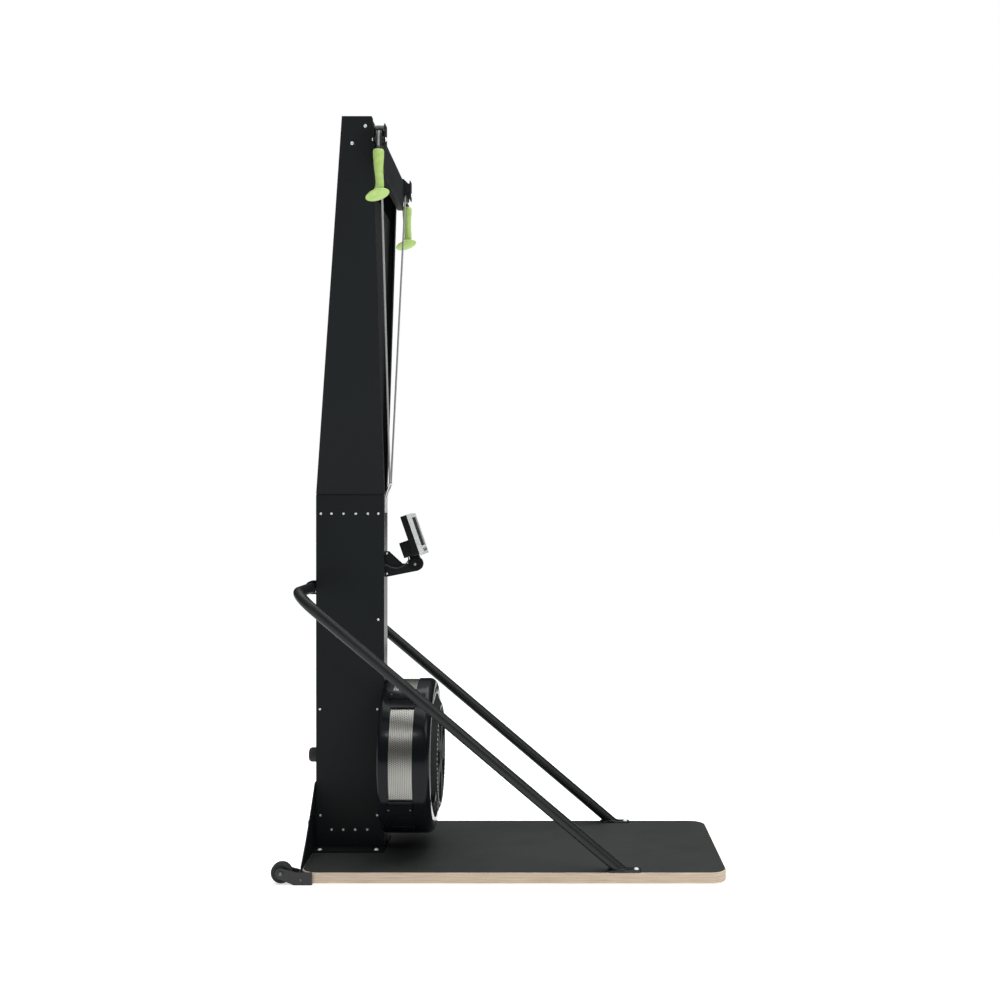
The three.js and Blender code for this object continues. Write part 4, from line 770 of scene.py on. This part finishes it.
# Perforated band
# A strip of bright steel sheet, punched with staggered holes that let the fan's air through and rolled into
# a ring between the shells.
def punched_band(radius, wall, x_range, pitch, hole):
    """Staggered cells, each a hexagon with a smaller one cut out, rolled so that u / radius is the angle."""
    around = int(round(2 * np.pi * radius / pitch))
    pitch = 2 * np.pi * radius / around
    row_gap = pitch * np.sqrt(3) / 2
    rows = int((x_range[1] - x_range[0] - pitch / np.sqrt(3)) / row_gap)
    column, row = np.meshgrid(np.arange(around), np.arange(rows))
    centre_u = ((column + 0.5 * (row % 2)) * pitch).ravel()
    middle = (x_range[0] + x_range[1]) / 2
    centre_x = (middle + (row - (rows - 1) / 2) * row_gap).ravel()
    corner = np.radians(30 + 60 * np.arange(6))
    spokes = np.stack([np.cos(corner), np.sin(corner)], axis=1)
    reach = np.array([pitch / np.sqrt(3), hole, hole, pitch / np.sqrt(3)])
    depth = np.array([radius, radius, radius - wall, radius - wall])
    u = centre_u[:, None, None] + reach[None, :, None] * spokes[None, None, :, 0]
    x = centre_x[:, None, None] + reach[None, :, None] * spokes[None, None, :, 1]
    r = np.broadcast_to(depth[None, :, None], u.shape)
    points = np.stack([x, r * np.cos(u / radius), axle_z + r * np.sin(u / radius)], axis=-1)
    index = np.arange(u.size).reshape(u.shape)
    after = np.roll(index, -1, axis=2)
    quads = np.stack([index[:, :-1], after[:, :-1], after[:, 1:], index[:, 1:]], axis=-1)
    return points.reshape(-1, 3), quads.reshape(-1, 4).tolist()


band_low, band_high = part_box("fan_band")
band_radius, band_wall, hole_pitch, hole_radius = 0.2282, 0.0008, 0.006, 0.0018
bright_band = finish(
    "perforated_steel", (0.3, 0.3, 0.278), (0.33, 0.33, 0.305), cloud=18.0, rough=(0.3, 0.34),
    grain=1800.0, relief=0.00002, metallic=1.0)
band = punched_band(band_radius, band_wall, (band_low[0], band_high[0]), hole_pitch, hole_radius)
built("punched_band", [band], "frame", bright_band, ["fan_band"], sharp=25)


# Front cover, damper and fan wheel
# The cover is a moulded plate on a wide sloping rim, with a ring of small lipped vents and five air
# windows. The vents' black lips are coloured light grey, a painted highlight for the light their rims
# catch. The damper turns behind it to open or close the windows, and its lever comes out through the
# slope. The wheel turns on a steel shaft in two bearings.
def flat_plate(name, outer, holes, thickness, front_x):
    """A filled curve with holes, given as outlines in Y and Z about the axle, extruded and laid across X."""
    curve = bpy.data.curves.new(name, "CURVE")
    curve.dimensions = "2D"
    curve.fill_mode = "BOTH"
    rounding = 0.0004
    curve.extrude = thickness / 2 - rounding
    curve.bevel_depth = rounding
    curve.bevel_resolution = 1
    curve.offset = -rounding
    for outline in (outer, *holes):
        spline = curve.splines.new("POLY")
        spline.points.add(len(outline) - 1)
        level = np.zeros(len(outline))
        spline.points.foreach_set("co", np.column_stack([outline, level, level + 1]).ravel())
        spline.use_cyclic_u = True
    drawn = bpy.data.objects.new(name, curve)
    bpy.context.scene.collection.objects.link(drawn)
    mesh = bpy.data.meshes.new_from_object(drawn.evaluated_get(bpy.context.evaluated_depsgraph_get()))
    bpy.data.objects.remove(drawn)
    flat = np.empty(len(mesh.vertices) * 3)
    mesh.vertices.foreach_get("co", flat)
    y, z, x = flat.reshape(-1, 3).T
    faces = [list(face.vertices) for face in mesh.polygons]
    vertices = np.column_stack([front_x - thickness / 2 + x, y, axle_z + z])
    bpy.data.meshes.remove(mesh)
    return vertices, faces


def circle(radius, steps, centre=(0.0, 0.0)):
    """Points centre + radius * (cos, sin)."""
    angle = np.linspace(0, 2 * np.pi, steps, endpoint=False)
    return np.array(centre) + radius * np.column_stack([np.cos(angle), np.sin(angle)])


def window(inner, outer, start, end):
    """A window between two radii and two angles in degrees: the outer arc, then the inner arc back."""
    angle = np.radians(np.linspace(start, end, 24))[:, None]
    spokes = np.hstack([np.cos(angle), np.sin(angle)])
    return np.vstack([outer * spokes, inner * spokes[::-1]])


cover_face, cover_wall, cover_radius, cover_flat, slope_foot = -0.188, 0.003, 0.185, 0.153, -0.2045
vent_count, vent_ring, vent_radius = 64, 0.1465, 0.0028
vent_angles = np.arange(vent_count) * 2 * np.pi / vent_count
vent_centres = vent_ring * np.column_stack([np.cos(vent_angles), np.sin(vent_angles)])
vents = [circle(vent_radius, 12, centre) for centre in vent_centres]
lip_foot, lip_top = cover_face - 0.0005, cover_face + 0.0012
vent_lip = [
    (lip_foot, vent_radius + 0.0011), (lip_top, vent_radius + 0.0009),
    (lip_top, vent_radius + 0.0002), (lip_foot, vent_radius + 0.0001)]
vent_lips = [turned(vent_lip, (0, y, axle_z + z), (1, 0, 0), 12, closed=True) for y, z in vent_centres]
window_inner, window_outer, window_spread, window_pitch = 0.052, 0.140, 36, 72
windows = [
    window(window_inner, window_outer, start, start + window_spread)
    for start in range(18, 360, window_pitch)]
cover_plate = flat_plate("cover_plate", circle(cover_flat, 160), vents + windows, cover_wall, cover_face)
cover_foot = ledge_x + 0.0003
rim_profile = [
    (cover_foot, cover_radius), (slope_foot - 0.001, cover_radius),
    (slope_foot, cover_radius - 0.0012), (cover_face - 0.0012, cover_flat + 0.0022),
    (cover_face, cover_flat), (cover_face, cover_flat - cover_wall),
    (cover_face - cover_wall, cover_flat - 0.0025), (slope_foot - 0.004, cover_radius - 0.0035),
    (cover_foot, cover_radius - cover_wall)]
hub_rear, hub_step, hub_front, hub_radius, hub_flange = -0.1976, -0.1946, -0.1905, 0.020, 0.023
hub_profile = [
    (hub_rear, pole), (hub_rear, hub_flange), (hub_step, hub_flange), (hub_step, hub_radius),
    (hub_front, hub_radius), (hub_front, pole)]
cover_black = finish(
    "cover_black", (0.02, 0.022, 0.0225), (0.025, 0.027, 0.0275), cloud=30.0, rough=(0.64, 0.72),
    grain=1300.0, relief=0.00005, specular=0.04)
# Painted highlight: the vent lips are black moulded plastic, coloured light grey so that their rims show as
# light dots.
lip_highlight_paint = finish(
    "vent_lip_painted_highlight", (0.34, 0.345, 0.345), (0.42, 0.425, 0.425), cloud=90.0, rough=(0.3, 0.4),
    grain=1300.0, relief=0.00003)
built(
    "front_cover", [
        cover_plate, turned(rim_profile, fan_centre, (1, 0, 0), 192, closed=True),
        turned(hub_profile, fan_centre, (1, 0, 0), 48)],
    "frame", cover_black, ["fan_front_cover"], sharp=28)
built("vent_lips", vent_lips, "frame", lip_highlight_paint, sharp=50)
rounded("damper_ring", 0.0006, "damper", moulded)
rounded("fan_wheel", 0.0004, "fan", moulded, steps=1)
rounded("fan_shaft", 0.0006, "fan", zinc)
for bearing_name in ("bearing_front", "bearing_rear"):
    rounded(bearing_name, 0.0006, "frame", zinc)


# Rear cap
# A cup of soft black rubber with a rounded end, moulded in one piece. It stands on the back of the column,
# in line with the fan's axle.
cap_low, cap_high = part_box("end_cap")
cap_depth, cap_radius = cap_high[0] - cap_low[0], (cap_high[1] - cap_low[1]) / 2
cap_wall, flat_share, round_share = 0.003, 0.62, 0.38
cap_angle = np.linspace(0, np.pi / 2, 10)
cap_along = cap_high[0] - cap_depth * (flat_share + round_share * np.sin(cap_angle))
cap_outside = list(zip(cap_along, cap_radius * (flat_share + round_share * np.cos(cap_angle))))
cap_profile = [
    (cap_high[0], cap_radius), *cap_outside, (cap_low[0], pole), (cap_low[0] + cap_wall, pole),
    (cap_low[0] + cap_wall, 0.012), (cap_low[0] + 0.01, cap_radius - cap_wall),
    (cap_high[0], cap_radius - cap_wall)]
built(
    "rear_cap", [turned(cap_profile, fan_centre, (1, 0, 0), 64)], "frame", strip_rubber,
    ["end_cap"])


# Transport wheels
# Two black rubber wheels turn in moulded brackets that are bolted to the deck's rear corners, clear of the
# floor until the machine is tipped back.
wheel_x, wheel_z, wheel_middle = -0.614, 0.032, 0.285
tread_half, tread_foot, tread_crown, tread_turn = 0.0128, 0.0268, 0.0032, 1.45
tread = [
    (tread_half * np.sin(a), tread_foot + tread_crown * np.cos(a) ** 0.6)
    for a in np.linspace(-tread_turn, tread_turn, 15)]
wheel_profile = [
    (-0.0157, 0.0043), (-0.0157, 0.009), (-0.013, 0.009), (-0.0115, 0.012), (-0.0115, 0.021),
    (-0.013, 0.0235), *tread, (0.013, 0.0235), (0.0115, 0.021), (0.0115, 0.012), (0.013, 0.009),
    (0.015, 0.009), (0.015, 0.0043)]
for side_name, side in (("left", -1), ("right", 1)):
    facing = [(side * along, radius) for along, radius in wheel_profile]
    built(
        f"wheel_{side_name}",
        [turned(facing, (wheel_x, side * wheel_middle, wheel_z), (0, 1, 0), 72, closed=True)],
        f"{side_name}_wheel", strip_rubber, [f"transport_wheel_{side_name}"])
    rounded(f"wheel_bracket_{side_name}", 0.0009, "frame", moulded)
wheel_bolt_places = [(wheel_x, 0.3073, wheel_z, 0.005), (-0.558, 0.3043, 0.014, 0.003)]
wheel_bolts = [
    screw_head((x, side * y, z), (0, side, 0), radius)
    for x, y, z, radius in wheel_bolt_places for side in (-1, 1)]
built("wheel_bolts", wheel_bolts, "frame", dull_steel, sharp=40)


# Monitor
# A small tilting display on a forked arm: a black case with its battery box, a light grey bezel, a dark
# display window and three soft buttons. Washers and bolts clamp the pivot, and bolts hold the arm.
rounded("monitor_arm", 0.0008, "frame", powder_coat)
case_black = finish(
    "case_black", (0.0035, 0.0048, 0.0048), (0.005, 0.0064, 0.0064), cloud=40.0, rough=(0.42, 0.54),
    grain=1400.0, relief=0.00005, specular=0.12)
rounded("monitor_case", 0.0014, "monitor", case_black, steps=3)
grey_bezel = finish(
    "grey_bezel", (0.52, 0.53, 0.53), (0.58, 0.59, 0.59), cloud=80.0, rough=(0.38, 0.46),
    grain=1500.0, relief=0.00004)
rounded("monitor_bezel", 0.0016, "monitor", grey_bezel, steps=3)
display = finish(
    "display_window", (0.03, 0.036, 0.038), (0.036, 0.043, 0.045), cloud=20.0, rough=(0.05, 0.09),
    grain=900.0, relief=0.000005)
rounded("monitor_screen", 0.0005, "monitor", display)
for number in (1, 2, 3):
    rounded(f"monitor_button_{number}", 0.0008, f"button_{number}", strip_rubber, steps=3)
rounded("cable_grommet", 0.0006, "frame", strip_rubber)
arm_half, washer_floor = 0.019, 0.0026
washer_profile = [
    (0.0, pole), (0.0, 0.0175), (0.0012, 0.0185), (0.0030, 0.0185), (0.0036, 0.0178), (0.0036, 0.0125),
    (washer_floor, 0.0118), (washer_floor, pole)]
pivot_bolt_radius, arm_bolt_radius = 0.0048, 0.003
pivot_washers = [
    turned(washer_profile, (pivot_x, side * arm_half, pivot_z), (0, side, 0), 48) for side in (-1, 1)]
built("pivot_washers", pivot_washers, "frame", case_black)
pivot_bolts = [
    screw_head((pivot_x, side * (arm_half + washer_floor), pivot_z), (0, side, 0), pivot_bolt_radius)
    for side in (-1, 1)]
arm_bolts = [
    screw_head((x, side * arm_half, z), (0, side, 0), arm_bolt_radius)
    for side in (-1, 1) for x, z in ((-0.3505, 0.9205), (-0.350, 0.859))]
built("arm_bolts", pivot_bolts + arm_bolts, "frame", zinc, sharp=40)
